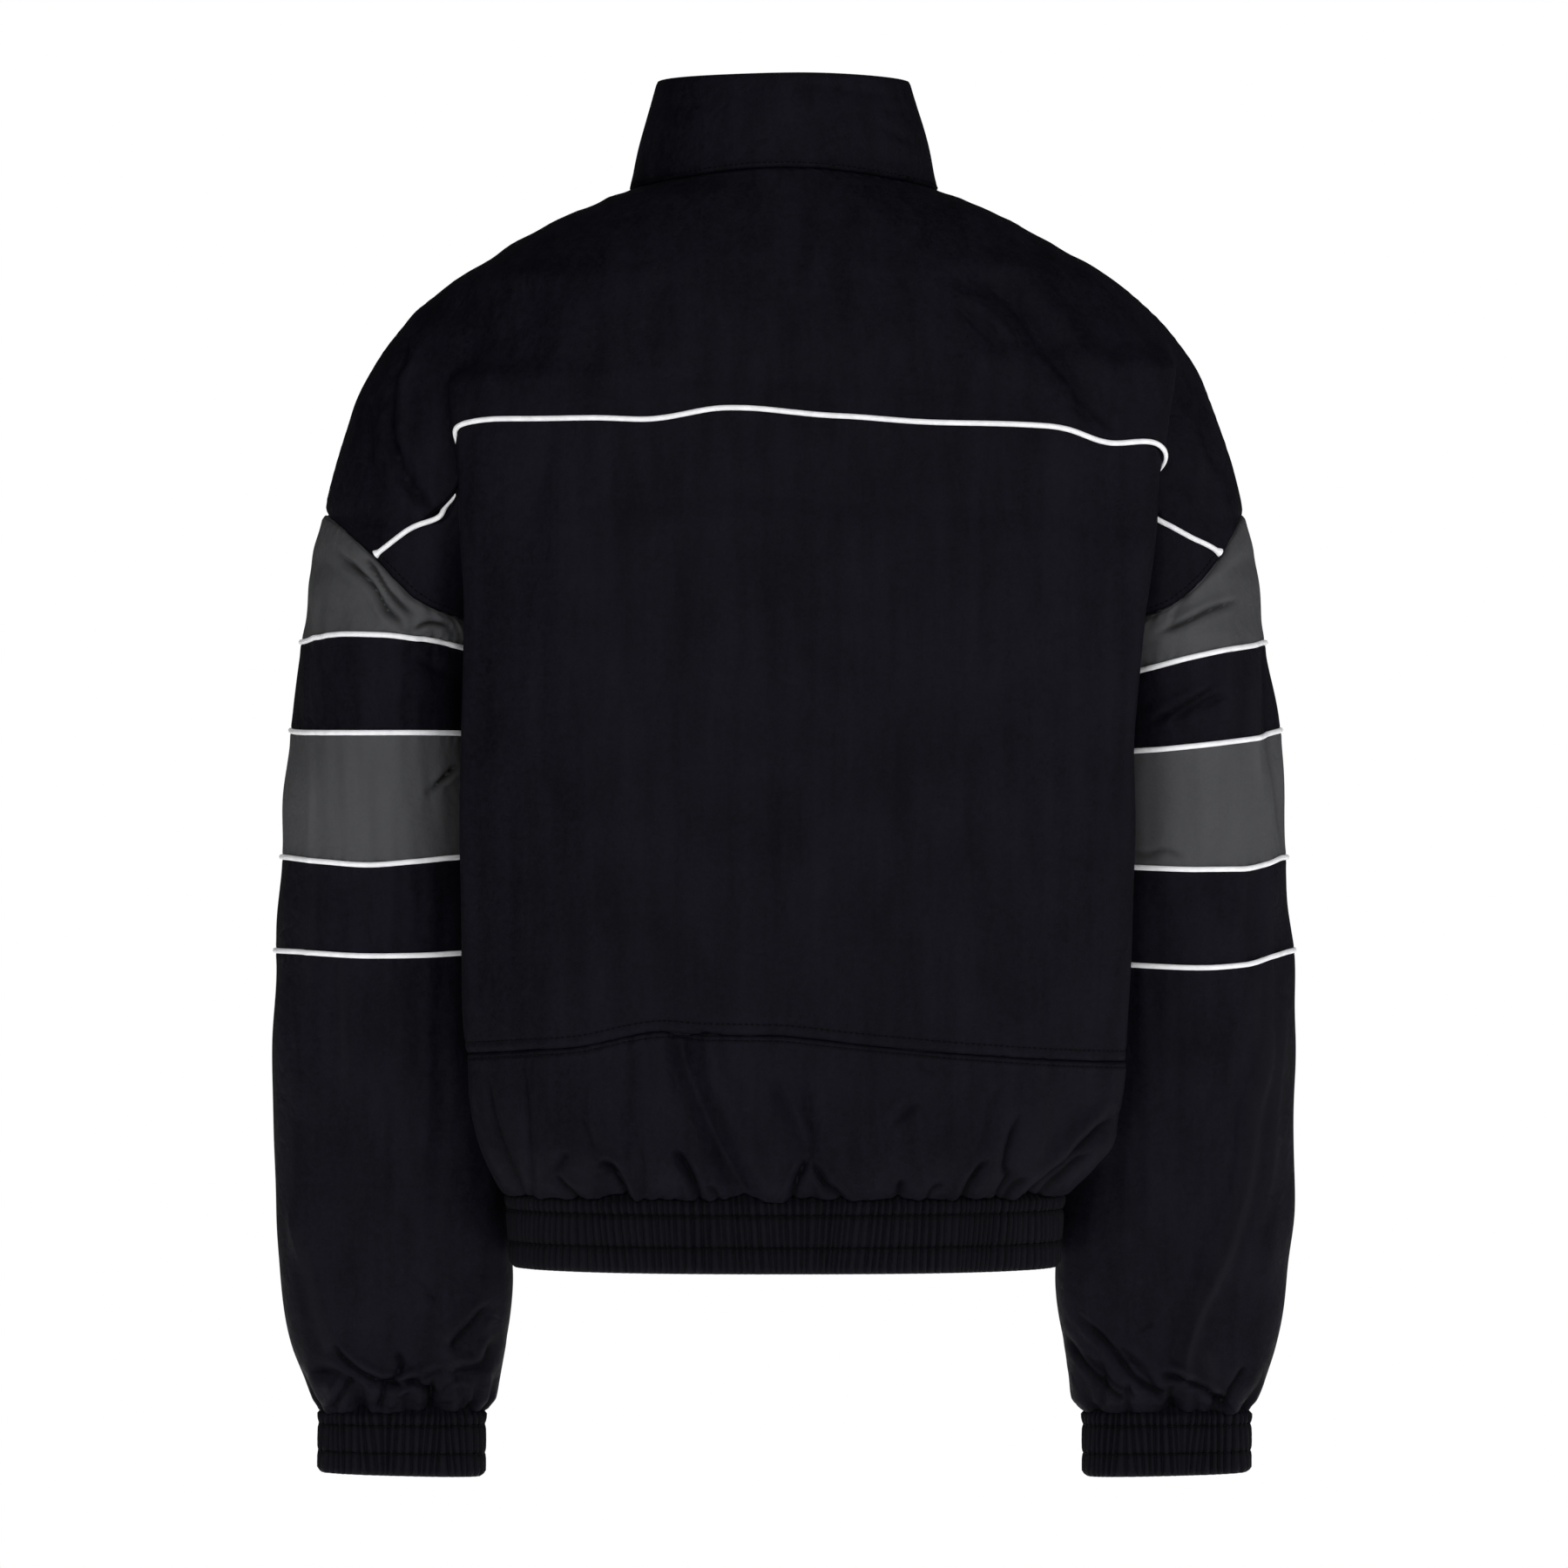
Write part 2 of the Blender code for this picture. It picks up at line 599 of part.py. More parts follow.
def hem_band(look):
    """Elastic band, open at the zip: ribs raised on the outside only."""
    w = np.linspace(0, 1, 161)
    drop = np.full(161, 599.5)
    start = front_start(599.5)
    ahead = start + (1 - start) * w
    half = [np.concatenate([FRONT[side].point(ahead, drop), BACK[side].point(1 - w[1:], drop[1:])])
            for side in (1, -1)]
    path = spaced(np.concatenate([half[0], half[1][-2::-1]]), 2 * HEM_RIBS + 1)
    path[0, 0], path[-1, 0] = ZIP_OPEN, -ZIP_OPEN
    out = outward(path)
    out[0], out[-1] = (0, -1, 0), (0, -1, 0)
    ribs = np.where(np.arange(len(path)) % 2 == 1, RIB_HEIGHT, 0.0)[:, None]
    base = path - 0.8 * out
    rows_outer, rows_inner = [], []
    for level, taper in ((HEM_TOP + SEAM_GAP, 1.0), (HEM_BOTTOM, 0.982)):
        place = base * [taper, taper, 0] + [0, 0, -level]
        place[0, 0], place[-1, 0] = ZIP_OPEN, -ZIP_OPEN
        rows_outer.append(place + ribs * out)
        rows_inner.append(place - 1.2 * out)
    wall("hem_band", np.array(rows_outer), np.array(rows_inner), look)
    return np.array(rows_outer)[:, 0]


def tube(angle, drop, side):
    """Points and outward normals of the sleeve."""
    small = 0.5
    points = sleeve(angle, drop, side)
    around = sleeve(angle + small, drop, side) - sleeve(angle - small, drop, side)
    down = sleeve(angle, drop + small, side) - sleeve(angle, drop - small, side)
    normal = -side * np.cross(around, down)
    return points, normal / np.linalg.norm(normal, axis=-1, keepdims=True)


def sleeve_panels(side, black, grey, white, ribbed):
    """Five bands of one sleeve, the piping in its four seams, and the cuff."""
    name = "left" if side > 0 else "right"
    half = np.array(ANGLES[side], float)
    angles = np.r_[half, 360 - half[-2:0:-1]]
    folded = np.minimum(angles, 360 - angles)
    rings = [through(RINGS, k, folded) for k in ((1, 2, 3, 4) if side > 0 else (5, 6, 7, 8))]
    top = np.interp(folded, FINE_ANGLES, SEAM_DROPS[side]) + 1.6 * SEAM_GAP
    cuff = np.full(len(angles), CUFF_TOP)
    seams = [top] + rings + [cuff]
    lower = row_shares([455, 500, 545, 590, 635, 672, 700, 717, 727, CUFF_TOP])
    bands = [
        ("upper_grey", grey, np.linspace(0, 1, 5)),
        ("upper_black", black, np.linspace(0, 1, 3)),
        ("middle_grey", grey, np.linspace(0, 1, 4)),
        ("middle_black", black, np.linspace(0, 1, 3)),
        ("lower", black, lower),
    ]
    for k, (band, look, rows) in enumerate(bands):
        drops = levels(seams[k], seams[k + 1], rows[:, None])
        points, normals = tube(angles, drops, side)
        tuck = 3.0 * (np.arange(len(angles)) % 2) * ease((drops - 670) / 45) * ease((735 - drops) / 10)
        points = points - tuck[..., None] * normals
        wall(f"sleeve_{name}_{band}", points, points - WALL * normals, look, ring=True)
    for k, ring in enumerate(rings):
        points, normals = tube(angles, ring, side)
        cord(f"piping_{name}_{k + 1}", points, normals, white, ring=True)

    fine = np.linspace(0, 360, 361)[:-1]
    rows_outer, rows_inner = [], []
    for level in (CUFF_TOP + SEAM_GAP, CUFF_BOTTOM):
        path = spaced(sleeve(fine, np.full(360, max(level, 738.0)), side), 2 * CUFF_RIBS, ring=True)
        path[:, 2] = -level
        out = outward(path, ring=True)
        ribs = np.where(np.arange(len(path)) % 2 == 1, RIB_HEIGHT, 0.0)[:, None]
        base = path - 0.8 * out
        rows_outer.append(base + ribs * out)
        rows_inner.append(base - 1.2 * out)
    wall(f"cuff_{name}", np.array(rows_outer), np.array(rows_inner), ribbed, ring=True)


def yoke_piping(look):
    """White piping that follows the yoke seam from armhole to armhole."""
    shares = np.array(COLUMNS[:-1] + [0.985])
    drops = seam(YOKE, shares)[None, :]
    points, normals = both_halves(shares, BACK, drops)
    cord("yoke_piping", points[0], normals[0], look, tucked=in_fold(shares))


def zip_profile(collar_edge, front_drops, band_edge):
    """The line of the front opening in the YZ plane, from collar top to hem, with its outward normals."""
    body = [FRONT[1].point(front_start(drop), drop) for drop in front_drops]
    line = np.concatenate([collar_edge[::-1], np.array(body), band_edge])
    line[:, 0] = 0
    gaps = np.r_[True, np.linalg.norm(np.diff(line, axis=0), axis=1) > 1.0]
    line = line[gaps]
    along = np.gradient(line, axis=0)
    out = np.stack([0 * along[:, 0], along[:, 2], -along[:, 1]], 1)
    out /= np.linalg.norm(out, axis=1, keepdims=True)
    out *= np.sign(-out[:, 1])[:, None]
    return line, out


def closed_zip(line, out, tape_look, metal):
    """Two tapes behind the front edges, the chain on them, the slider near the top and its pull tab."""
    for side, name in ((1, "zip_tape_left"), (-1, "zip_tape_right")):
        across = np.array([0.4, 5.5, 10.0])
        sag = np.array([0.0, 0.3, 1.7])
        grid = line[:, None] + np.stack([side * across, 0 * across, 0 * across], 1)
        outer = grid - out[:, None] * (WALL + 0.6 + sag[None, :, None])
        wall(name, outer, outer - 1.0 * out[:, None], tape_look)
    top, foot = line[0], line[1]
    down = (foot - top) / np.linalg.norm(foot - top)
    run = np.concatenate([[top + down * 9.0], line[1:]])
    chain = run[:, None] + np.array([[2.7, 0, 0], [-2.7, 0, 0]])
    wall("zip_chain", chain + out[:, None] * 0.2, chain - out[:, None] * 1.8, metal)

    face = np.array([0.0, down[2], -down[1]])
    face *= np.sign(-face[1])
    centre = top + down * 14.0

    def place(x, along, height):
        return centre + down * along + face * height + [x, 0, 0]

    # side outline of the slider round the window under its bridge: along the zip, height, half width
    outside = [(-6.5, 0.6, 4.2), (6.5, 0.6, 3.6), (6.5, 2.2, 3.6), (4.4, 2.6, 1.5), (3.4, 6.0, 1.2),
               (-3.4, 6.0, 1.2), (-4.4, 2.6, 1.5), (-6.5, 2.2, 4.2)]
    window = [(-2.6, 2.0, 1.2), (2.6, 2.0, 1.2), (3.0, 2.3, 1.2), (3.2, 2.9, 1.2), (2.5, 5.0, 1.2),
              (-2.5, 5.0, 1.2), (-3.2, 2.9, 1.2), (-3.0, 2.3, 1.2)]
    count = len(outside)
    points, faces = [], []
    for sign in (1, -1):
        for loop in (outside, window):
            points += [place(sign * half, along, height) for along, height, half in loop]
    for k in range(count):
        n = (k + 1) % count
        faces.append((k, n, count + n, count + k))
        faces.append((2 * count + k, 3 * count + k, 3 * count + n, 2 * count + n))
        faces.append((k, 2 * count + k, 2 * count + n, n))
        faces.append((count + k, count + n, 3 * count + n, 3 * count + k))
    solid("zip_slider", points, faces, metal)

    # pull tab: a flat link with a window, its top bar under the slider's bridge; across, along
    pivot = 3.6
    outside = [(-3.2, -0.6), (3.2, -0.6), (3.6, 6.4), (3.6, 20.0),
               (2.4, 22.0), (-2.4, 22.0), (-3.6, 20.0), (-3.6, 6.4)]
    window = [(-2.0, 0.6), (2.0, 0.6), (2.1, 3.0), (2.1, 5.2),
              (1.6, 5.8), (-1.6, 5.8), (-2.1, 5.2), (-2.1, 3.0)]
    points = []
    for height in (pivot + 0.6, pivot - 0.6):
        for loop in (outside, window):
            points += [place(x, along, height) for x, along in loop]
    axis = place(0.0, 0.0, pivot)
    solid("zip_pull", points, faces, metal, origin=axis)
    return axis


bpy.ops.object.select_all(action="DESELECT")
for thing in list(bpy.data.objects):
    bpy.data.objects.remove(thing)

BLACK = material("black_nylon", (0.0072, 0.0067, 0.0098), 0.45)
GREY = material("grey_nylon", (0.062, 0.062, 0.066), 0.5)
WHITE = material("white_piping", (0.82, 0.82, 0.84), 0.5)
RIBBED = material("black_elastic", (0.0055, 0.0051, 0.0072), 0.6)
METAL = material("dark_metal", (0.06, 0.06, 0.065), 0.35, 1.0)

back_panels(BLACK)
FRONT_EDGE = front_panels(BLACK)
COLLAR_EDGE = collar(BLACK)
BAND_EDGE = hem_band(RIBBED)
for SIDE in (1, -1):
    sleeve_panels(SIDE, BLACK, GREY, WHITE, RIBBED)
yoke_piping(WHITE)
LINE, OUT = zip_profile(COLLAR_EDGE, FRONT_EDGE, BAND_EDGE)
PIVOT = closed_zip(LINE, OUT, BLACK, METAL)
print("pull tab turns about", [round(float(v) * MM, 5) for v in PIVOT])
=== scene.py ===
# %% [markdown]
# # A bomber jacket, panel by panel
#
# The jacket is thin brushed nylon, filled out as if worn: a yoke with drop shoulders, a back that blouses
# over an elastic hem, banded sleeves with white piping in their seams, and a stand collar with a zip.
#
# Cloth like this could be simulated, but its folds would then fall anywhere. Here one smooth surface of the
# whole body is worked out first, each panel is a patch of it between two seams, and the folds are pressed
# into it one by one, each where it lies on the real jacket. Sizes are in millimetres until the mesh is made.

import bmesh
import bpy
import numpy as np
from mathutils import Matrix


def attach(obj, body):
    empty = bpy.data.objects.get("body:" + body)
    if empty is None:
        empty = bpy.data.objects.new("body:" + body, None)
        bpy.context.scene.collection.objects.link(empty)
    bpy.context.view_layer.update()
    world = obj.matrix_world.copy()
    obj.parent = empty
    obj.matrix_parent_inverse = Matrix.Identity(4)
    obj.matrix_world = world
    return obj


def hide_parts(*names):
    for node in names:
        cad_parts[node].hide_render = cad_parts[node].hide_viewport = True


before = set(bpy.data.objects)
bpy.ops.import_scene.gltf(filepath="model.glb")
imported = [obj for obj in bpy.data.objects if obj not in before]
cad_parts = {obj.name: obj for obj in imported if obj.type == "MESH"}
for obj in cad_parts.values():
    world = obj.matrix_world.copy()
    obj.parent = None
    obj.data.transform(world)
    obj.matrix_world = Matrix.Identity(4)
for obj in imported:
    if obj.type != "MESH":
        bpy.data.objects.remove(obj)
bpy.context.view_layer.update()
MM = 0.001

# %% [markdown]
# ## Camera, light and floor
#
# The jacket is seen from behind, from 4.5 m away, level with its middle. It hangs above a pale floor in a
# room that looks white but gives little light. Black cloth shows a fold only where one side of it is lit
# more than the other, so large soft lamps stand left, right and above behind the camera, and a weaker one
# at the far right gives the sleeve there its sheen.
#
# Two lamps light the front for views from that side. Dark nylon mirrors a lamp that grazes it, which would
# draw a bright rim round the outline, so these two are kept out of reflections.

# %% Camera
DISTANCE, FRAME_WIDTH, MIDDLE_HEIGHT = 4.5, 0.936, -0.3546
scene = bpy.context.scene
scene.view_settings.view_transform = "Standard"
lens = bpy.data.cameras.new("camera")
lens.sensor_width = 36.0
lens.lens = 36.0 * DISTANCE / FRAME_WIDTH
camera = bpy.data.objects.new("camera", lens)
camera.location = (0.0, DISTANCE, MIDDLE_HEIGHT)
camera.rotation_euler = (np.pi / 2, 0.0, np.pi)
scene.collection.objects.link(camera)
scene.camera = camera
print("lens", round(lens.lens, 1), "mm")

# %% Room
room = bpy.data.worlds.new("room")
scene.world = room
room.use_nodes = True
nodes, links = room.node_tree.nodes, room.node_tree.links
seen = nodes.new("ShaderNodeLightPath")
strength = nodes.new("ShaderNodeMix")
strength.inputs["A"].default_value = 0.05
strength.inputs["B"].default_value = 1.0
links.new(seen.outputs["Is Camera Ray"], strength.inputs["Factor"])
links.new(strength.outputs["Result"], nodes["Background"].inputs["Strength"])
nodes["Background"].inputs["Color"].default_value = (1.0, 1.0, 1.0, 1.0)

# %% Lamps
LAMPS = [
    # name, place in metres, width in metres, watts
    ("key", (-1.9, 3.9, 0.7), 1.8, 33),
    ("side", (1.9, 3.9, 0.4), 1.8, 38),
    ("middle", (0.0, 4.6, 0.9), 1.4, 51),
    ("right", (-3.3, 0.4, 0.3), 1.2, 27),
    ("top", (0.0, 1.4, 2.7), 1.6, 12),
    ("front left", (0.8, -3.6, 0.9), 1.4, 115),
    ("front right", (-0.8, -3.6, 0.9), 1.4, 60),
]
LIT_POINT = np.array([0.0, 0.0, -0.35])
for name, place, width, watts in LAMPS:
    lamp = bpy.data.lights.new(name, "AREA")
    lamp.size = width
    lamp.energy = watts
    holder = bpy.data.objects.new(name, lamp)
    holder.location = place
    holder.visible_glossy = not name.startswith("front")
    aim = LIT_POINT - place
    tilt = np.arctan2(np.hypot(aim[0], aim[1]), -aim[2])
    holder.rotation_euler = (tilt, 0.0, np.arctan2(aim[1], aim[0]) - np.pi / 2)
    scene.collection.objects.link(holder)
print("lamps", len(LAMPS))

# %% Floor
FLOOR_HEIGHT, FLOOR_REACH = -1.2, 3.0
corners = [(x * FLOOR_REACH, y * FLOOR_REACH, FLOOR_HEIGHT) for x, y in ((-1, -1), (1, -1), (1, 1), (-1, 1))]
floor_mesh = bpy.data.meshes.new("floor")
floor_mesh.from_pydata(corners, [], [(0, 1, 2, 3)])
floor = bpy.data.objects.new("floor", floor_mesh)
scene.collection.objects.link(floor)
paint = bpy.data.materials.new("pale_floor")
paint.use_nodes = True
shader = paint.node_tree.nodes["Principled BSDF"]
shader.inputs["Base Color"].default_value = (0.93, 0.93, 0.93, 1.0)
shader.inputs["Roughness"].default_value = 0.9
shader.inputs["Emission Color"].default_value = (1.0, 1.0, 1.0, 1.0)
shader.inputs["Emission Strength"].default_value = 0.62
floor_mesh.materials.append(paint)

# %% [markdown]
# ## Finishes
#
# Brushed nylon is matt, with a faint mottle where its nap lies different ways, long brush marks down the
# cloth and a plain weave too fine to count. Its colour is nearly black with a little blue. A picture could
# hold the mottle, but noise in the shader needs no image and never repeats. The weave follows the cloth
# through its UV map, which is the real distance along the cloth in metres, so threads keep their size on
# every panel.
#
# A crease is darker than a lamp alone would make it, because its two walls shade each other closer than the
# mesh can show. Each panel therefore carries a number per point, its "crease", which the nylon reads as
# painted shade in folds, seams and between ribs, and as a painted highlight on pressed ridges.

# %% Node helpers
def new_finish(name, colour, roughness, specular, metallic=0.0):
    """A material with its plain numbers set on the shader's own sockets."""
    made = bpy.data.materials.new(name)
    made.use_nodes = True
    shader = made.node_tree.nodes["Principled BSDF"]
    shader.inputs["Base Color"].default_value = (*colour, 1.0)
    shader.inputs["Roughness"].default_value = roughness
    shader.inputs["Specular IOR Level"].default_value = specular
    shader.inputs["Metallic"].default_value = metallic
    made.diffuse_color = (*colour, 1.0)
    return made, shader


def feed(tree, value, socket):
    """Set a socket to a plain number or colour, or link another socket to it."""
    if isinstance(value, bpy.types.NodeSocket):
        tree.links.new(value, socket)
    else:
        socket.default_value = (*value, 1.0) if isinstance(value, tuple) else value


def object_place(tree):
    """Object coordinates, which are the place on the jacket in metres."""
    return tree.nodes.new("ShaderNodeTexCoord").outputs["Object"]


def number(tree, kind, a, b=0.0):
    """One sum, product or other operation on sockets or plain numbers."""
    made = tree.nodes.new("ShaderNodeMath")
    made.operation = kind
    feed(tree, a, made.inputs[0])
    feed(tree, b, made.inputs[1])
    return made.outputs["Value"]


def stretched(tree, value, low, high, to_low=0.0, to_high=1.0):
    """A value moved from one range to another, and kept inside it."""
    made = tree.nodes.new("ShaderNodeMapRange")
    for socket, x in zip(("From Min", "From Max", "To Min", "To Max"), (low, high, to_low, to_high)):
        made.inputs[socket].default_value = x
    tree.links.new(value, made.inputs["Value"])
    return made.outputs["Result"]

# %% Patterns in nodes
def noise(tree, vector, scale, detail=2.0, roughness=0.5):
    """Soft noise that varies over about 1 / scale metres."""
    made = tree.nodes.new("ShaderNodeTexNoise")
    made.inputs["Scale"].default_value = scale
    made.inputs["Detail"].default_value = detail
    made.inputs["Roughness"].default_value = roughness
    tree.links.new(vector, made.inputs["Vector"])
    return made.outputs["Fac"]


WAVE_LENGTH = 0.314  # metres from band to band in a wave texture whose scale is 1


def threads(tree, pitch, along="X"):
    """Parallel threads a pitch in metres apart across the cloth: a sine wave of the UV map."""
    uv = tree.nodes.new("ShaderNodeUVMap")
    uv.uv_map = "cloth"
    wave = tree.nodes.new("ShaderNodeTexWave")
    wave.bands_direction = along
    wave.inputs["Scale"].default_value = WAVE_LENGTH / pitch
    tree.links.new(uv.outputs["UV"], wave.inputs["Vector"])
    return wave.outputs["Fac"]


def blended(tree, factor, first, second):
    """A colour between two, each a socket or three plain numbers."""
    made = tree.nodes.new("ShaderNodeMix")
    made.data_type = "RGBA"
    feed(tree, factor, made.inputs[0])
    feed(tree, first, made.inputs[6])
    feed(tree, second, made.inputs[7])
    return made.outputs[2]


def bumped(tree, height, distance, strength=1.0, under=None):
    """A bump of a height field, on top of another bump."""
    made = tree.nodes.new("ShaderNodeBump")
    made.inputs["Distance"].default_value = distance
    made.inputs["Strength"].default_value = strength
    tree.links.new(height, made.inputs["Height"])
    if under is not None:
        tree.links.new(under, made.inputs["Normal"])
    return made.outputs["Normal"]

# %% Nylon in two colours
def times(colour, factor):
    """A colour made lighter or darker."""
    return tuple(c * factor for c in colour)


def crumpled(tree, place, nap):
    """Normals of nylon: a soft crumple, patches of crinkles, the nap, and a weave of 0.5 mm threads."""
    crumple = noise(tree, place, 70.0, 3.0, 0.55)
    ridge = number(tree, "ABSOLUTE", number(tree, "SUBTRACT", noise(tree, place, 26.0, 2.0, 0.6), 0.5))
    patch = stretched(tree, noise(tree, place, 11.0, 1.0), 0.48, 0.62)
    crinkle = number(tree, "MULTIPLY", stretched(tree, ridge, 0.0, 0.05), patch)
    weave = number(tree, "MULTIPLY", threads(tree, 0.0005, "X"), threads(tree, 0.0005, "Y"))
    bump = bumped(tree, crumple, 0.0022, 0.5)
    bump = bumped(tree, crinkle, 0.0005, 0.5, bump)
    bump = bumped(tree, nap, 0.0004, 0.8, bump)
    return bumped(tree, weave, 0.00006, 0.8, bump)


def nylon(name, colour, mottle, specular, glint=1.0):
    """Brushed nylon: a colour mottled by a share of itself, uneven roughness, and a crumpled weave.

    The attribute "crease" paints shade into the bottoms of folds where it is above 0, and paints a highlight
    on the pressed ridges, glint times lighter, where it is below.
    """
    made, shader = new_finish(name, colour, 0.6, specular)
    tree = made.node_tree
    place = object_place(tree)
    drawn = tree.nodes.new("ShaderNodeMapping")
    drawn.inputs["Scale"].default_value = (1.0, 1.0, 0.1)
    tree.links.new(place, drawn.inputs["Vector"])
    nap = noise(tree, place, 240.0, 3.0, 0.6)
    layers = [
        # share of the mottle, noise
        (0.20, noise(tree, place, 22.0)),
        (0.25, nap),
        (0.25, noise(tree, place, 620.0, 2.0, 0.6)),
        (0.30, noise(tree, drawn.outputs[0], 75.0, 3.0, 0.6)),
    ]
    total = 0.0
    for share, layer in layers:
        total = number(tree, "ADD", total, number(tree, "MULTIPLY", layer, share))
    cloud = stretched(tree, total, 0.40, 0.60)
    cloth = blended(tree, cloud, times(colour, 1 - mottle), times(colour, 1 + mottle))

    # Painted shade toward near-black where crease is above 0, painted highlight toward a lighter grey where
    # below.
    crease = tree.nodes.new("ShaderNodeAttribute")
    crease.attribute_name = "crease"
    valley = stretched(tree, crease.outputs["Fac"], 0.0, 1.0, 0.0, 0.85)
    ridge = stretched(tree, crease.outputs["Fac"], -1.0, 0.0, 1.0, 0.0)
    ridge_highlight_grey = tuple((c + sum(colour) / 3) / 2 for c in colour)
    cloth = blended(tree, valley, cloth, times(colour, 0.08))
    cloth = blended(tree, ridge, cloth, times(ridge_highlight_grey, glint))
    tree.links.new(cloth, shader.inputs["Base Color"])
    tree.links.new(stretched(tree, nap, 0.3, 0.7, 0.52, 0.72), shader.inputs["Roughness"])
    tree.links.new(crumpled(tree, place, nap), shader.inputs["Normal"])
    return made


BLACK_NYLON = nylon("black_nylon", (0.0046, 0.0042, 0.0072), mottle=0.40, specular=0.038, glint=1.8)
GREY_NYLON = nylon("grey_nylon", (0.056, 0.0565, 0.0600), mottle=0.08, specular=0.10, glint=1.4)
ELASTIC = nylon("black_elastic", (0.0043, 0.0040, 0.0062), mottle=0.18, specular=0.04)
ZIP_TAPE = nylon("zip_tape", (0.0060, 0.0055, 0.0080), mottle=0.10, specular=0.04)
print("nylon finishes", [finish.name for finish in (BLACK_NYLON, GREY_NYLON, ELASTIC, ZIP_TAPE)])

# %% [markdown]
# Piping is a cord wrapped in white satin tape: nearly smooth, with a slanting weave and a trace of grey
# where it has been handled. Thread is a dark twisted yarn. The zip is dark plated metal with fine scratches.

# %% Piping, thread and metal
def piping_finish():
    """White satin tape: a fine slanting rib, slightly uneven white."""
    made, shader = new_finish("white_piping", (0.86, 0.86, 0.88), 0.55, 0.2)
    tree = made.node_tree
    cloud = stretched(tree, noise(tree, object_place(tree), 160.0), 0.35, 0.65)
    tree.links.new(blended(tree, cloud, (0.80, 0.80, 0.82), (0.90, 0.90, 0.92)), shader.inputs["Base Color"])
    tree.links.new(bumped(tree, threads(tree, 0.0007, "DIAGONAL"), 0.00006, 0.8), shader.inputs["Normal"])
    return made


def thread_finish():
    """Dark twisted yarn: a fine noise for the twist."""
    made, shader = new_finish("thread", (0.0016, 0.0015, 0.0022), 0.6, 0.05)
    tree = made.node_tree
    twist = noise(tree, object_place(tree), 1800.0, 1.0)
    tree.links.new(bumped(tree, twist, 0.00008, 0.7), shader.inputs["Normal"])
    return made


def metal_finish():
    """Dark plated metal: noise in roughness, fine scratches, lighter where it rubs."""
    made, shader = new_finish("dark_metal", (0.10, 0.10, 0.105), 0.35, 0.5, 1.0)
    tree = made.node_tree
    place = object_place(tree)
    cloud = noise(tree, place, 500.0, 3.0)
    worn = blended(tree, stretched(tree, cloud, 0.45, 0.75), (0.085, 0.085, 0.09), (0.20, 0.20, 0.205))
    tree.links.new(worn, shader.inputs["Base Color"])
    tree.links.new(stretched(tree, cloud, 0.3, 0.7, 0.24, 0.46), shader.inputs["Roughness"])
    tree.links.new(bumped(tree, noise(tree, place, 2600.0), 0.00002, 0.5), shader.inputs["Normal"])
    return made


WHITE_PIPING, THREAD, METAL = piping_finish(), thread_finish(), metal_finish()
print("trims", WHITE_PIPING.name, THREAD.name, METAL.name)

# %% [markdown]
# ## The surface of the body
#
# A worn jacket is a tube with two smaller tubes grown into its corners. At each level its section is a
# squared oval, wider at the back fold beside the sleeve, with a hollow where the sleeve presses in. Above
# the underarm the oval runs into the sleeve's oval. Tables give the sizes of both at a few levels, and a
# cubic that never overshoots joins them. Each quarter of the body is a grid of such rows, and any point is
# read off it by its share of the row, 0 in the middle and 1 at the side or armhole seam, and its drop below
# the neck.

# %% Tables of the body
CAP_DROP = 193.0       # top of the armhole seam
UNDERARM_DROP = 266.0  # foot of the armhole seam
BAND_DROP = 598.0      # seam of the body and the hem band
CUFF_DROP = 733.0      # seam of a sleeve and its cuff
ZIP_HALF = 6.0         # half of the opening that the zip fills
SIDES = {1: "left", -1: "right"}  # sign of x, and the wearer's side

# Sleeve, with the shoulder it grows out of: drop, outer x, inner x, middle y, half depth, squareness
ARM = [
    (-14,   62,  20,   0,  18, 1.00),
    (0,     90,  30,   0,  24, 1.00),
    (11,   118,  38,   0,  30, 1.00),
    (22,   142,  44,   0,  34, 1.00),
    (43,   178,  56,  -1,  44, 1.00),
    (63,   209,  70,  -2,  52, 1.00),
    (84,   230,  84,  -3,  60, 1.00),
    (105,  245,  98,  -4,  66, 1.00),
    (126,  255, 110,  -5,  70, 1.00),
    (157,  266, 127,  -6,  74, 1.00),
    (193,  275, 144,  -8,  77, 1.00),
    (230,  283, 159,  -9,  78, 1.00),
    (256,  286, 169, -10,  78, 1.00),
    (266,  288, 174, -10,  78, 1.00),
    (273,  289, 178, -11,  78, 1.00),
    (300,  292, 182, -13,  77, 1.00),
    (350,  298, 182, -16,  73, 1.00),
    (400,  301, 179, -20,  68, 1.00),
    (450,  305, 175, -24,  62, 0.97),
    (510,  307, 170, -28,  55, 0.94),
    (560,  307, 166, -33,  50, 0.90),
    (605,  306, 164, -37,  45, 0.88),
    (648,  303, 163, -40,  41, 0.86),
    (690,  297, 168, -44,  37, 0.84),
    (715,  290, 171, -45,  33, 0.84),
    (725,  285, 173, -46,  28, 0.84),
    (731,  281, 178, -46,  21, 0.84),
    (740,  280, 182, -47,  19, 0.80),
    (772,  280, 183, -48,  18, 0.80),
]

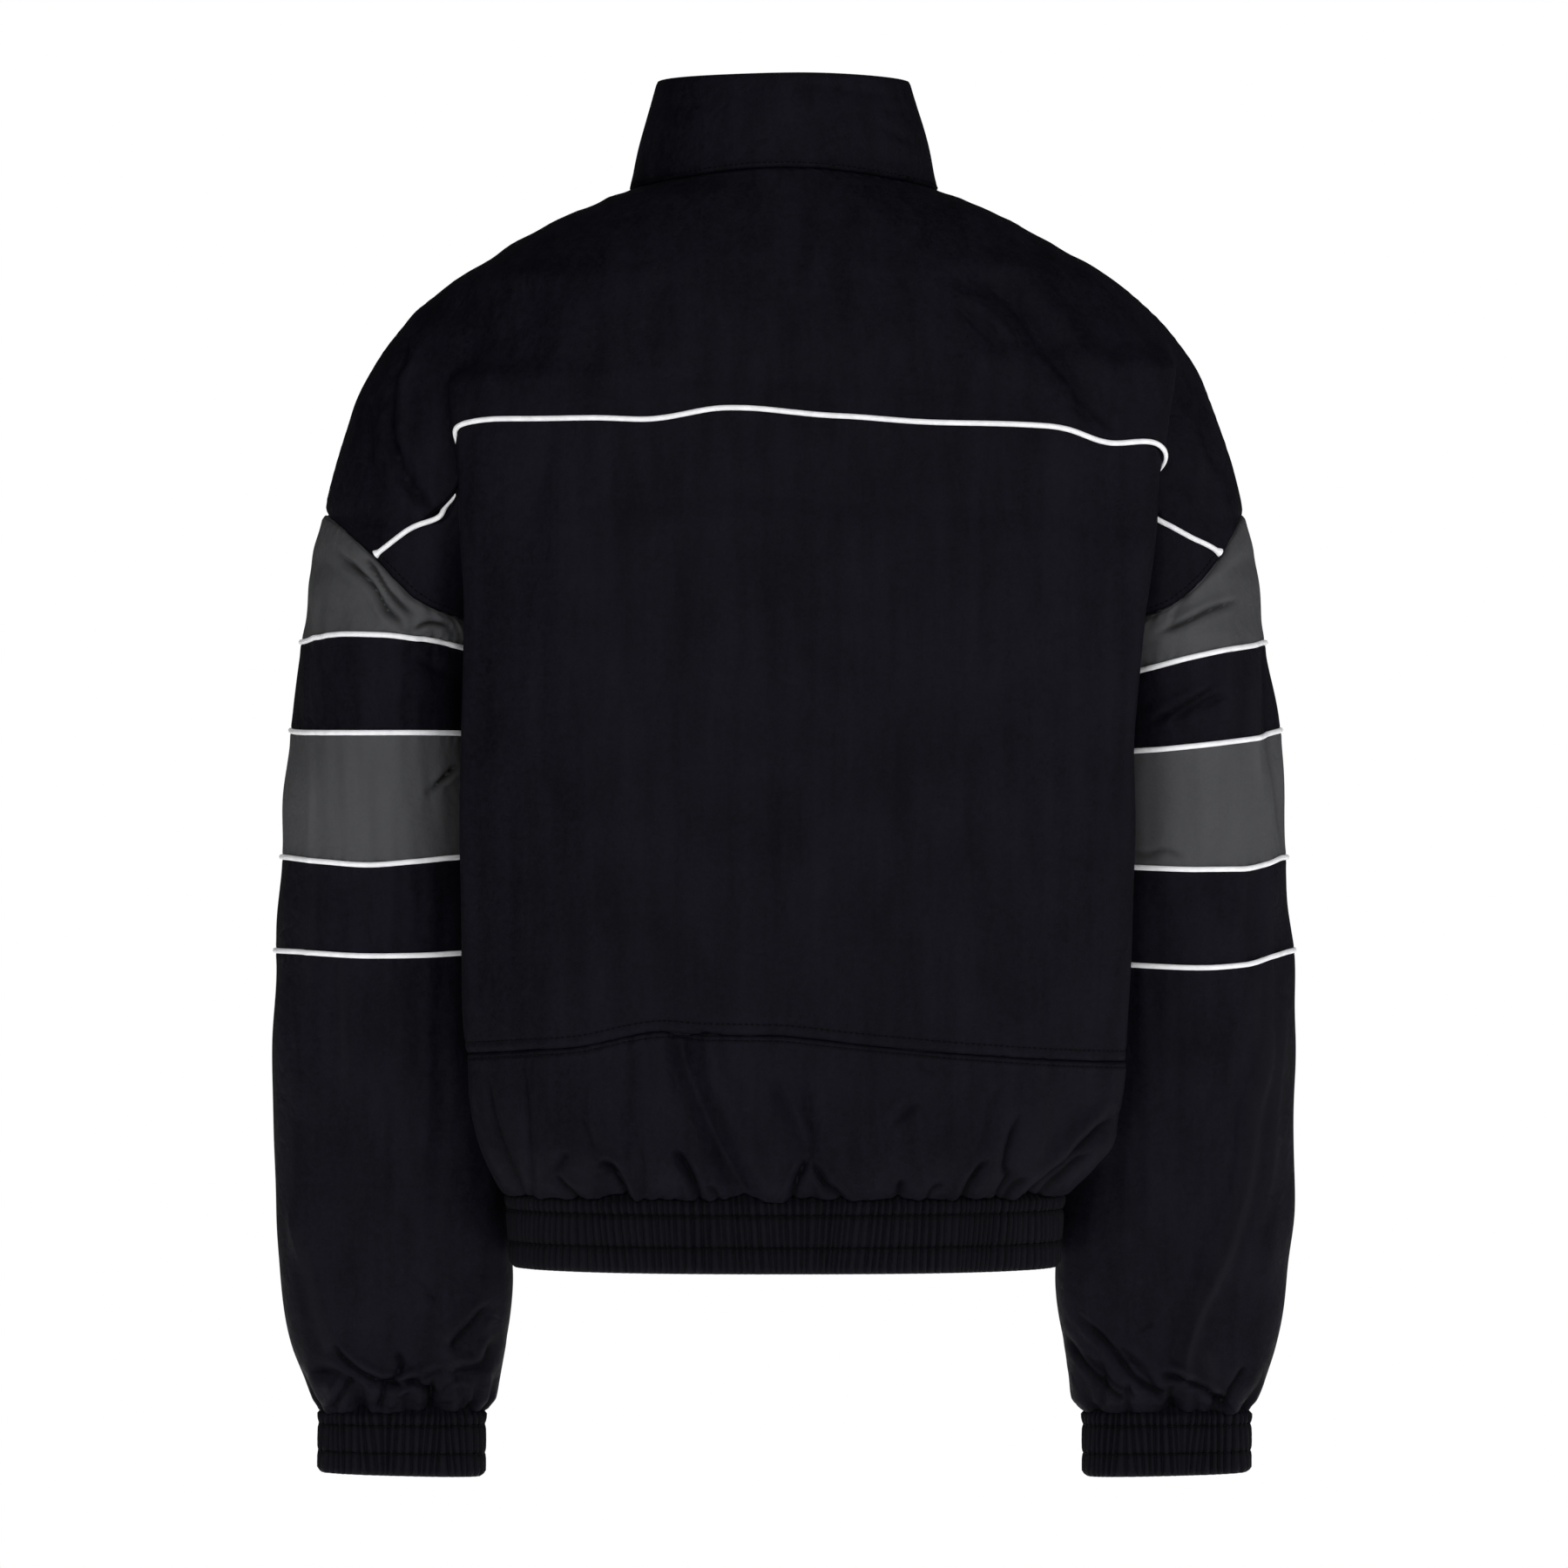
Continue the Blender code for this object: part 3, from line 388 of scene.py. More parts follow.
# Torso: drop, back fold x left, back fold x right, side x, back y, front y, middle y, squareness
TORSO = [
    (-14,   60,  60,  60,  72,  -61,   0, 1.00),
    (0,     90,  90,  90,  80,  -66,   0, 1.00),
    (11,   120, 120, 120,  86,  -70,   0, 0.98),
    (32,   161, 161, 161,  96,  -77,  -1, 0.94),
    (58,   199, 201, 199, 107,  -83,  -2, 0.86),
    (78,   201, 221, 205, 113,  -90,  -3, 0.78),
    (100,  198, 231, 200, 118,  -98,  -4, 0.70),
    (150,  195, 227, 183, 124, -113,  -6, 0.58),
    (200,  192, 222, 177, 127, -126,  -8, 0.53),
    (266,  191, 216, 174, 128, -137, -10, 0.50),
    (274,  191, 215, 171, 128, -138, -10, 0.50),
    (300,  191, 212, 170, 128, -139, -10, 0.50),
    (340,  191, 209, 169, 128, -140, -10, 0.50),
    (410,  192, 208, 167, 127, -141, -10, 0.52),
    (470,  191, 205, 163, 127, -142, -10, 0.54),
    (530,  185, 201, 158, 127, -141, -10, 0.57),
    (565,  180, 194, 156, 126, -138, -10, 0.62),
    (590,  171, 176, 157, 119, -129, -10, 0.70),
    (600,  164, 165, 161, 109, -119, -10, 0.78),
]

# Fold of the back beside the sleeve: drop, how far it stands out, its y
FOLD = [
    (70,   0, 78),
    (105,  5, 84),
    (150, 10, 88),
    (200, 13, 90),
    (266, 13, 90),
    (340, 11, 87),
    (450,  9, 83),
    (530,  6, 78),
    (595,  0, 66),
]

# %% Tables of the seams
# Armhole seam: angle on the sleeve from the outside (0) to the underarm (180), drop left, drop right
ARMHOLE = [
    (0,   193.0, 193.0),
    (20,  196.5, 198.0),
    (38,  202.0, 209.0),
    (53,  210.5, 222.5),
    (68,  221.0, 236.0),
    (82,  233.0, 246.5),
    (96,  245.0, 254.0),
    (112, 252.6, 258.5),
    (130, 258.5, 261.5),
    (152, 263.5, 264.5),
    (180, 266.0, 266.0),
]

# Neck seam: share of the row (0 middle, 1 shoulder), drop on the back, drop on the front
NECK = [
    (0.00, -8.0, 65.0),
    (0.15, -7.5, 56.0),
    (0.30, -6.0, 42.0),
    (0.50, -3.5, 20.0),
    (0.75, -1.0, 3.0),
    (1.00,  0.0,  0.0),
]

# Piped yoke seam on the back: share of the row (0 middle, 0.6 back fold, 1 armhole), drop left, drop right
YOKE = [
    (0.00, 138.1, 138.1),
    (0.06, 136.2, 140.5),
    (0.10, 136.0, 141.2),
    (0.19, 141.2, 144.0),
    (0.23, 142.9, 144.7),
    (0.32, 141.7, 145.2),
    (0.41, 141.9, 146.7),
    (0.50, 141.5, 156.3),
    (0.55, 143.2, 154.0),
    (0.58, 145.5, 155.2),
    (0.60, 150.0, 163.5),
    (0.63, 168.0, 172.0),
    (0.66, 183.0, 182.0),
    (0.69, 192.5, 190.5),
    (0.73, 198.0, 196.0),
    (0.81, 203.3, 204.0),
    (0.87, 209.1, 209.5),
    (0.94, 215.7, 214.5),
    (1.00, 221.0, 219.5),
]

# Lower back seam: share of the row, drop left, drop right
LOWER = [
    (0.00, 500.9, 500.9),
    (0.15, 500.1, 507.0),
    (0.20, 498.1, 508.6),
    (0.25, 500.2, 510.4),
    (0.36, 508.0, 513.5),
    (0.45, 510.0, 515.8),
    (0.58, 512.5, 517.7),
    (1.00, 516.0, 520.0),
]

# Piped seams round a sleeve, top to bottom: angle from the outside, four drops left, four drops right
RINGS = [
    (0,   269.8, 322.5, 398.2, 454.3, 269.8, 322.2, 398.3, 454.0),
    (20,  269.9, 323.5, 398.3, 454.2, 270.6, 323.6, 398.5, 454.6),
    (40,  268.0, 324.1, 399.3, 454.3, 273.0, 327.0, 402.2, 457.2),
    (60,  266.3, 324.3, 400.8, 455.2, 275.3, 329.3, 405.0, 461.8),
    (85,  266.9, 324.3, 402.5, 456.1, 280.0, 332.0, 405.0, 463.5),
    (110, 269.6, 324.3, 400.6, 456.0, 286.0, 334.3, 404.2, 462.5),
    (135, 273.0, 324.4, 398.4, 455.2, 291.0, 335.5, 403.5, 461.0),
    (180, 279.0, 324.6, 397.0, 454.5, 297.0, 336.5, 403.0, 460.0),
]

# %% Reading a table
def through(rows, column, at):
    """A column of a table at any value of its first column, along a cubic that never overshoots."""
    x = np.array([row[0] for row in rows], float)
    y = np.array([row[column] for row in rows], float)
    step = np.diff(x)
    slope = np.diff(y) / step
    lean = np.zeros_like(y)
    same = slope[:-1] * slope[1:] > 0
    total = np.where(same, slope[:-1] + slope[1:], 1.0)
    lean[1:-1] = np.where(same, 2 * slope[:-1] * slope[1:] / total, 0.0)
    lean[0], lean[-1] = slope[0], slope[-1]
    at = np.clip(at, x[0], x[-1])
    i = np.clip(np.searchsorted(x, at, side="right") - 1, 0, len(step) - 1)
    t = (at - x[i]) / step[i]
    return ((1 + 2 * t) * (1 - t) ** 2 * y[i] + t * (1 - t) ** 2 * step[i] * lean[i]
            + t * t * (3 - 2 * t) * y[i + 1] + t * t * (t - 1) * step[i] * lean[i + 1])


def read(rows, drop, *columns):
    """Some columns of a table at one drop."""
    return [float(through(rows, column, drop)) for column in columns]

# %% Eased steps and bells
def ease(t):
    """Smooth step from 0 to 1: 3 t squared minus 2 t cubed."""
    t = np.clip(t, 0.0, 1.0)
    return t * t * (3 - 2 * t)


def above(drop, level):
    """1 well above a level, easing to 0 at it over 60 mm."""
    return ease((level - drop) / 60)


def below(drop, level, over=60.0):
    """0 down to a level, easing to 1 over a distance below it."""
    return ease((drop - level) / over)


def bell(x, width, exponent=2):
    """A bell curve: 1 at zero, 0.37 at a width from it; a higher exponent makes its top flatter."""
    return np.exp(-(x / width) ** exponent)


def signed_power(value, exponent):
    """A power that keeps the sign, which squares an oval."""
    return np.sign(value) * np.abs(value) ** exponent

# %% Paths
def unit(vectors):
    """Vectors brought to length one."""
    return vectors / np.maximum(np.linalg.norm(vectors, axis=-1, keepdims=True), 1e-9)


def evened(rows):
    """Each row moved halfway to the mean of its two neighbours; the first and last stay."""
    rows = rows.copy()
    rows[1:-1] = 0.25 * rows[:-2] + 0.5 * rows[1:-1] + 0.25 * rows[2:]
    return rows


def distances(path):
    """How far along a path each of its points lies."""
    return np.r_[0, np.cumsum(np.linalg.norm(np.diff(path, axis=0), axis=1))]


def at_distances(path, far, at):
    """The values of a path at some distances along it; far holds the distances of its own points."""
    return np.stack([np.interp(at, far, path[:, k]) for k in range(3)], -1)

# %% Sleeve and body sections
ARM_DENT = 66.0        # reach in y of the hollow that the sleeve presses into the side
FOLD_REACH = 12.5      # half width of the fold beside the sleeve
ROUNDER_FRONT = 0.15   # how much less square the front is than the back
ROW_POINTS = 241
FOLD_SHARE = 0.6       # place in every row of the fold, or of the meeting with the sleeve
FOLD_WAY = 0.66        # how far along a section that place is where there is no fold
HEM_WAY = 0.68         # and the same near the hem
EDGE_ANGLES = np.linspace(0, 180, 721)
SEAM_DROPS = {1: through(ARMHOLE, 1, EDGE_ANGLES), -1: through(ARMHOLE, 2, EDGE_ANGLES)}


def sleeve(angle, drop, side):
    """The sleeve tube: a squared oval at each drop, angle in degrees from the outside round the back."""
    outer, inner, middle, half, square = (through(ARM, k, drop) for k in (1, 2, 3, 4, 5))
    turn = np.radians(angle)
    x = (outer + inner) / 2 + (outer - inner) / 2 * signed_power(np.cos(turn), square)
    y = middle + half * signed_power(np.sin(turn), square)
    return np.stack([side * x, y, -drop + 0 * x], -1)

# %% Body sections
def torso_section(drop, side, face):
    """Half a level section of the torso: a squared oval, a fold beside the sleeve, the sleeve's hollow.

    The oval's width is corrected a few times until the whole reaches as far out as the table says.
    """
    outer, middle = read(ARM, drop, 1, 3)
    fold_left, fold_right, flank, y_side, square = read(TORSO, drop, 1, 2, 3, 6, 7)
    deep, = read(TORSO, drop, 4 if face > 0 else 5)
    stand, fold_y = read(FOLD, drop, 1, 2)
    reach = min(fold_left if side > 0 else fold_right, outer)
    if face < 0:
        reach = min(flank, outer)
        square = min(square + ROUNDER_FRONT, 1.0)
        stand = 0.0
    elif side < 0:
        flank += (fold_right - fold_left) * above(drop, 150.0)
        stand *= 1 + 0.04 * (fold_right - fold_left) * below(drop, 110.0)
    flank = min(flank, reach)

    turn = np.linspace(0, np.pi / 2, ROW_POINTS)
    across = np.sin(turn) ** square
    y = y_side + (deep - y_side) * np.r_[np.cos(turn[:-1]) ** square, 0.0]
    hollow = bell(y - middle, ARM_DENT, 4)
    fold = stand * bell(y - fold_y, FOLD_REACH)
    width = reach
    for _ in range(8):
        x = across * (width - (width - flank) * hollow) + fold
        width *= reach / x.max()
    return np.stack([x, y], 1)


def over_sleeve(path, drop, side, face):
    """A section led on over the sleeve's oval to the armhole seam, and how many of its points are left."""
    outer, inner, middle, half = read(ARM, drop, 1, 2, 3, 4)
    centre, wide = (outer + inner) / 2, (outer - inner) / 2
    inside = ((path[:, 0] - centre) / wide) ** 2 + ((path[:, 1] - middle) / half) ** 2
    hits = np.nonzero(inside < 1 - 1e-9)[0]
    if len(hits) == 0 or hits[0] == 0:
        return path, len(path)
    i = hits[0]
    t = (inside[i - 1] - 1) / (inside[i - 1] - inside[i])
    meet = path[i - 1] + t * (path[i] - path[i - 1])
    start = np.degrees(np.arctan2(abs(meet[1] - middle) / half, (meet[0] - centre) / wide))
    edge = 0.0 if drop <= CAP_DROP else float(np.interp(drop, SEAM_DROPS[side], EDGE_ANGLES))
    arc = np.radians(np.linspace(max(start, edge), edge, 90))
    over = np.stack([centre + wide * np.cos(arc), middle + face * half * np.sin(arc)], 1)
    return np.concatenate([path[:i], over]), i


def half_row(drop, side, face):
    """Half a level section of the body, its corners softened, as points whose fold is always at one share.

    Above the underarm it runs on over the sleeve's oval to the armhole seam or the shoulder line.
    """
    path = torso_section(drop, side, face)
    corner = int(path[:, 0].argmax())
    if drop < UNDERARM_DROP:
        path, meeting = over_sleeve(path, drop, side, face)
        corner = min(corner, meeting)
    far = np.r_[0, np.cumsum(np.hypot(*np.diff(path, axis=0).T))]
    way = far[corner] / far[-1] if face > 0 else FOLD_WAY
    way += (FOLD_WAY - way) * above(drop, 120.0)
    way += (HEM_WAY - way) * below(drop, 540.0, 50.0)

    even = np.linspace(0, far[-1], 301)
    soft = np.stack([np.interp(even, far, path[:, k]) for k in (0, 1)], 1)
    for _ in range(30):
        soft = evened(soft)
    w = np.linspace(0, 1, ROW_POINTS)
    past = (w - FOLD_SHARE) / (1 - FOLD_SHARE)
    at = np.where(past < 0, w / FOLD_SHARE * way, way + past * (1 - way)) * far[-1]
    x, y = (np.interp(at, even, soft[:, k]) for k in (0, 1))
    return np.stack([side * x, y, np.full(ROW_POINTS, -drop)], 1)

# %% Quarters of the body
LEVELS = np.unique(np.r_[-10:244:2.0, 244:270:0.5, 270:601:3.0, 600.0])
EDGE = 0.9988  # outermost share of a row that a panel uses, a little short of its seam


class Quarter:
    """A quarter of the body as a grid of level rows, read off between them in straight steps."""

    def __init__(self, side, face):
        self.grid = np.stack([half_row(drop, side, face) for drop in LEVELS])

    def point(self, w, drop):
        """Points at shares of a row and at drops: means of the four grid points round each, by nearness."""
        w, drop = np.broadcast_arrays(np.asarray(w, float), np.asarray(drop, float))
        row = np.clip(np.interp(drop, LEVELS, np.arange(len(LEVELS))), 0, len(LEVELS) - 1.001)
        column = np.clip(w, 0, 1) * (self.grid.shape[1] - 1.001)
        i, j = row.astype(int), column.astype(int)
        a, b = (row - i)[..., None], (column - j)[..., None]
        return ((1 - a) * ((1 - b) * self.grid[i, j] + b * self.grid[i, j + 1])
                + a * ((1 - b) * self.grid[i + 1, j] + b * self.grid[i + 1, j + 1]))


BACK = {side: Quarter(side, 1) for side in (1, -1)}
FRONT = {side: Quarter(side, -1) for side in (1, -1)}
print("body at drop 300:", BACK[1].point([0, FOLD_SHARE, EDGE], 300).round(0).tolist())

# %% [markdown]
# ## Folds, seams and shells
#
# A fold in thin nylon is a narrow valley with a soft rounded shoulder on the side it was pushed from. Each
# one here is a line drawn over the cloth, with a width, a depth and the height of its shoulder. Sculpting
# by hand would do the same, but lines with numbers can be moved and compared with the real jacket. Between
# the folds the cloth is never quite flat, so long shallow waves lie under them.

# %% Folds as lines
NARROW = 6.0   # a fold narrower than this has a sharp crease at its middle
FADING = 0.28  # share of a fold's length over which it rises from nothing, and fades again


def smooth_line(stops):
    """A line through a few stops with four easy steps between each pair (a Catmull-Rom spline)."""
    p = np.asarray(stops, float)
    p = np.concatenate([[2 * p[0] - p[1]], p, [2 * p[-1] - p[-2]]])
    t = (np.arange(4) / 4)[None, :, None]
    a, b, c, d = (p[k:len(p) - 3 + k, None] for k in range(4))
    bend, twist = 2 * a - 5 * b + 4 * c - d, 3 * b - a - 3 * c + d
    line = 0.5 * (2 * b + (c - a) * t + bend * t ** 2 + twist * t ** 3)
    return np.concatenate([line.reshape(-1, 2), p[-2:-1]])


def each_fold(folds, x, drop):
    """For each fold near the cloth: its numbers, the points near it, their distance, their side, its fading.

    Along a fold it rises from nothing and fades again. One that runs below the hem band's seam doesn't
    fade, because there it ends in gathers, at the hem or above a cuff.
    """
    for width, dip, rise, stops in folds:
        line = smooth_line(stops)
        step = np.diff(line, axis=0)
        long = np.linalg.norm(step, axis=1)
        start = np.r_[0, np.cumsum(long)]
        reach = 4.5 * width  # a fold has no height beyond this
        near = ((x > line[:, 0].min() - reach) & (x < line[:, 0].max() + reach)
                & (drop > line[:, 1].min() - reach) & (drop < line[:, 1].max() + reach))
        if not near.any():
            continue
        gap = np.stack([x[near], drop[near]], 1)[:, None] - line[None, :-1]
        t = np.clip((gap * step).sum(-1) / long ** 2, 0, 1)
        away = gap - t[..., None] * step
        distance = np.linalg.norm(away, axis=-1)
        k = distance.argmin(1)
        rows = np.arange(len(k))
        run = (start[k] + t[rows, k] * long[k]) / start[-1]
        turn = np.sign(step[k, 1]) * np.sign(away[rows, k, 0])
        fade = ease(run / FADING)
        if stops[-1][1] < BAND_DROP:
            fade = fade * ease((1 - run) / FADING)
        yield (width, dip, rise), near, distance[rows, k], turn, fade

# %% Relief and shade of the folds
def relief(folds, x, drop):
    """Height of the folds at points of the cloth: valleys below, shoulders above.

    Across a fold the valley is a wide bell with a sharp crease at its middle, and its shoulder a bell beside
    it, 1.9 widths away. A small share of the depth rises on both sides.
    """
    height = np.zeros(x.shape)
    for (width, dip, rise), near, d, turn, fade in each_fold(folds, x, drop):
        beside = bell(d - 1.9 * width, width)
        shoulder = abs(rise) * beside * (turn * np.sign(rise) > 0) + 0.12 * abs(dip) * beside
        if dip > 0:
            core = 0.5 if width < NARROW else 0.2
            shape = (1 - core) * bell(d, width) + core * bell(d, 0.34 * width, 1.5)
        else:
            shape = bell(d, 0.8 * width, 1.6)
        height[near] += fade * (shoulder - dip * shape)
    return height


def crease_shade(folds, x, drop, fine):
    """Shade of the narrow folds: up to 1, dark, at the bottom of a valley, down to -0.6, light, on a ridge.

    It is a bell across the fold, as narrow as the mesh can show in a valley and wider on a ridge; it is
    painted into the colour, as shade in a valley and as a highlight on a ridge.
    """
    shade = np.zeros(x.shape)
    for (width, dip, rise), near, d, turn, fade in each_fold(folds, x, drop):
        if width >= NARROW:
            continue
        if dip > 0:
            here = np.clip((dip / width - 0.3) / 0.6, 0, 1) * fade * bell(d, fine)
        else:
            here = np.clip(dip / width, -0.6, 0) * fade * bell(d, fine + 0.8 * width)
        shade[near] = np.where(np.abs(here) > np.abs(shade[near]), here, shade[near])
    return shade

# %% Waves of worn cloth
def unevenness(x, drop, seed, height=0.8):
    """Long shallow waves of worn cloth: seven sines at their own angles, 45 to 130 mm long."""
    pick = np.random.default_rng(seed)
    total = 0 * x
    for _ in range(7):
        angle, length, shift = pick.uniform(0, np.pi), pick.uniform(45, 130), pick.uniform(0, 6.28)
        along = x * np.cos(angle) + drop * np.sin(angle)
        total = total + np.sin(2 * np.pi * along / length + shift)
    return total * height / 3.0


def streaks(x, drop, seed):
    """Long narrow waves down the cloth: sines 14 to 45 mm across that drift sideways over their length."""
    pick = np.random.default_rng(seed + 100)
    total = 0 * x
    for _ in range(9):
        length, shift, lean = pick.uniform(14, 45), pick.uniform(0, 6.28), pick.uniform(-0.12, 0.12)
        swell = 0.5 + 0.5 * np.sin(drop / pick.uniform(60, 140) + pick.uniform(0, 6.28))
        total = total + swell * np.sin(2 * np.pi * (x + lean * drop) / length + shift)
    return total * 0.225


def swapped(folds, stretch=0.94):
    """The same folds on the other face, mirrored left to right, closer together, lower and shallower.

    Stops in the gathers, below a drop of 590, aren't lowered.
    """
    lower, shallower = 6.0, 0.85
    return [(width, dip * shallower, -rise * shallower,
             [(-x * stretch, drop if drop > 590 else drop + lower) for x, drop in stops])
            for width, dip, rise, stops in folds]

# %% [markdown]
# A panel's edge turns in at the seam, so two panels meet in a fine dark valley, which painted shade darkens
# further. The stitches pull the cloth into tiny puckers on both sides of it. Solidify could thicken the
# sheet, but it doubles every face, so the inside here is its own coarser sheet, joined all round by a rim.

# %% Grids
def softened(grid, passes):
    """Each point moved halfway to the mean of its neighbours in both directions; edges stay."""
    for _ in range(passes):
        grid = evened(evened(grid).swapaxes(0, 1)).swapaxes(0, 1)
    return grid


def slopes(grid, ring=False):
    """Steps along the columns and down the rows of a grid."""
    if ring:
        along = (np.roll(grid, -1, 1) - np.roll(grid, 1, 1)) / 2
    else:
        along = np.gradient(grid, axis=1)
    return along, np.gradient(grid, axis=0)


def normals_of(grid, ring=False):
    """Normals of a grid, as the cross product of its two slopes, turned away from its own middle."""
    normal = unit(np.cross(*slopes(grid, ring)))
    middle = grid.reshape(-1, 3).mean(0) * [1, 1, 0] + [0, 0, 1] * grid[..., 2:]
    return normal * np.sign((normal * (grid - middle)).sum())


def run_lengths(grid, ring=False):
    """Distance along each row and down each column; with ring, one more column closes the row."""
    closed = np.concatenate([grid, grid[:, :1]], 1) if ring else grid
    along = np.pad(np.cumsum(np.linalg.norm(np.diff(closed, axis=1), axis=-1), 1), ((0, 0), (1, 0)))
    down = np.pad(np.cumsum(np.linalg.norm(np.diff(closed, axis=0), axis=-1), 0), ((1, 0), (0, 0)))
    return along, down


def cells(numbers):
    """Four corners of each cell of a grid of numbers."""
    four = [numbers[:-1, :-1], numbers[:-1, 1:], numbers[1:, 1:], numbers[1:, :-1]]
    return np.stack(four, -1).reshape(-1, 4)

# %% Meshes
def put(name, points, faces, look, corners=None, uv=None, shade=None):
    """A mesh object from points in mm; corners number the UV rows of the faces' corners."""
    mesh = bpy.data.meshes.new(name)
    mesh.from_pydata((points * MM).tolist(), [], faces)
    mesh.polygons.foreach_set("use_smooth", np.ones(len(faces), bool))
    if uv is not None:
        layer = mesh.uv_layers.new(name="cloth")
        layer.data.foreach_set("uv", (uv[corners] * MM).astype(np.float32).ravel())
    # shade becomes the crease attribute: painted shade where above 0, a painted highlight where below.
    if shade is not None:
        crease = mesh.attributes.new("crease", "FLOAT", "POINT")
        crease.data.foreach_set("value", shade.astype(np.float32))
    mesh.materials.append(look)
    made = bpy.data.objects.new(name, mesh)
    scene.collection.objects.link(made)
    return made


def triangles(*pieces):
    """How many triangles some pieces have: two fewer for each face than it has corners."""
    return sum(len(face.vertices) - 2 for piece in pieces for face in piece.data.polygons)


def shell(name, outer, normal, shade, look, ring=False, thickness=1.0):
    """A closed thin sheet: the fine grid outside, every second point of it inside, a rim all round.

    The grid has an odd number of rows, and of columns too unless it is a ring, where it is even. shade is
    the finish's crease attribute of each point: painted shade above 0, a painted highlight below.
    """
    rows, columns = outer.shape[:2]
    wide = columns + ring
    inner = (outer - thickness * normal)[::2, ::2]
    fine = np.arange(rows * wide).reshape(rows, wide)
    coarse = fine[::2, ::2] + rows * wide
    quads = np.concatenate([cells(fine), cells(coarse)[:, ::-1]])
    edges = [(fine[0, ::-1], coarse[0, ::-1]), (fine[-1], coarse[-1])]
    if not ring:
        edges += [(fine[:, 0], coarse[:, 0]), (fine[::-1, -1], coarse[::-1, -1])]
    rim = np.concatenate([np.stack([line[:-1:2], line[1::2], line[2::2], inside[1:], inside[:-1]], 1)
                          for line, inside in edges])
    if (np.cross(*slopes(outer, ring)) * normal).sum() <= 0:
        quads, rim = quads[:, ::-1], rim[:, ::-1]

    i, j = np.divmod(np.arange(rows * wide), wide)
    outside = i * columns + j % columns
    within = rows * columns + (i // 2) * inner.shape[1] + (j // 2) % inner.shape[1]
    vertex = np.concatenate([outside, within])
    uv = np.stack(run_lengths(outer, ring), -1).reshape(-1, 2)
    faces = vertex[quads].tolist() + vertex[rim].tolist()
    corners = np.concatenate([quads.ravel(), rim.ravel()])
    points = np.concatenate([outer.reshape(-1, 3), inner.reshape(-1, 3)])
    dark = np.concatenate([shade.ravel(), np.zeros(inner.shape[0] * inner.shape[1])])
    return put(name, points, faces, look, corners, np.concatenate([uv, uv]), dark)

# %% Edges of a grid
EDGES = {"top": (0, 1), "foot": (0, -1), "left": (1, 1), "right": (1, -1)}  # axis, direction inwards
EDGE_CELLS = np.array([0.0, 0.5, 1.1, 2.0])    # distances from a seam where its turned-in edge needs points
STITCH_CELLS = (-0.9, -0.35, 0.35, 0.9)        # distances from a stitch line where its groove needs them
ALLOWANCE = 2.6                                # depth and reach of the edge that lies under its neighbour


def with_allowance(outer, normal, shade, edges):
    """Two rows or columns past each named edge: the seam allowance, folded down under its neighbour."""
    for axis, step in (EDGES[edge] for edge in edges):
        grid, up, dark = (np.moveaxis(values, axis, 0)[::step] for values in (outer, normal, shade))
        away = grid[0] - grid[4]
        away = unit(away - (away * up[0]).sum(-1, keepdims=True) * up[0])
        fold = grid[0] - 1.5 * up[0] + 0.1 * away
        under = grid[0] + ALLOWANCE * (away - up[0])
        grid = np.concatenate([under[None], fold[None], grid])
        up, dark = (np.concatenate([values[:1], values[:1], values]) for values in (up, dark))
        outer, normal, shade = (np.moveaxis(values[::step], 0, axis) for values in (grid, up, dark))
    return outer, normal, shade


def edge_steps(length, cell, top=(), foot=(), from_drop=None, fine=None):
    """Shares of the way down a panel: even cells, with close ones where its edges turn in. Odd count.

    top and foot are more distances from each end that need close cells, such as a stitch line. Beyond
    from_drop the cells are fine.
    """
    starts, ends = (np.r_[EDGE_CELLS, [line + k for line in lines for k in STITCH_CELLS]]
                    for lines in (top, foot))
    low, high = starts.max() + 1.3, length - ends.max() - 1.3
    bend = high if from_drop is None else from_drop
    middle = np.linspace(low, bend, max(2, int(round((bend - low) / cell))))
    if from_drop is not None:
        middle = np.r_[middle, np.linspace(bend, high, int(round((high - bend) / fine)))[1:]]
    steps = np.unique(np.r_[starts, middle, length - ends])
    if len(steps) % 2 == 0:
        k = int(np.diff(steps).argmax())
        steps = np.insert(steps, k + 1, steps[k:k + 2].mean())
    return (steps / length)[:, None]

# %% Seam edges and puckers
def turned_in(distance):
    """How far an edge is turned in: a bell of the distance from the seam, 1.1 deep."""
    return -1.1 * bell(distance, 1.3)


def grooves(distance, lines):
    """The cloth drawn down under each line of stitches: a bell 0.55 deep round each."""
    return sum((-0.55 * bell(distance - line, 0.75) for line in lines), 0 * distance)


def line_shade(distance, lines=()):
    """How dark the cloth is at a seam and in its stitch lines: a bell round each."""
    # Painted shade along the seam and each stitch line.
    return 0.5 * bell(distance, 0.8) + sum((0.6 * bell(distance - line, 0.6) for line in lines), 0 * distance)


def puckers(distance, along, seed, height):
    """Small ripples across a sewn seam: a sine about 8 mm long that wanders, fading 6 mm away from it."""
    a, b, c = np.random.default_rng(seed).uniform(0, 6.28, 3)
    wander = 2.2 * np.sin(along / 37.0 + a) + 1.4 * np.sin(along / 17.0 + b)
    strength = 0.55 + 0.45 * np.sin(along / 29.0 + c)
    return height * strength * np.sin(2 * np.pi * along / 8.0 + wander) * bell(distance, 6.0)


def sewn_edges(lift, shade, edges):
    """A panel's lift and shade with its sewn edges worked in.

    Each edge is given by the distance of every point from it and along it, the seed and height of its
    puckers, and the distances of its stitch lines.
    """
    for distance, along, seed, height, lines in edges:
        lift = lift + turned_in(distance) + puckers(distance, along, seed, height) + grooves(distance, lines)
        shade = shade + line_shade(distance, lines)
    return lift, shade

# %% [markdown]
# The folds below were read off the jacket one by one: width, depth, shoulder and the stops of each line, as
# across and down from the middle of the neck. A depth below zero is a ridge. A shoulder above zero lies on
# one side of the line, and one below zero on the other.

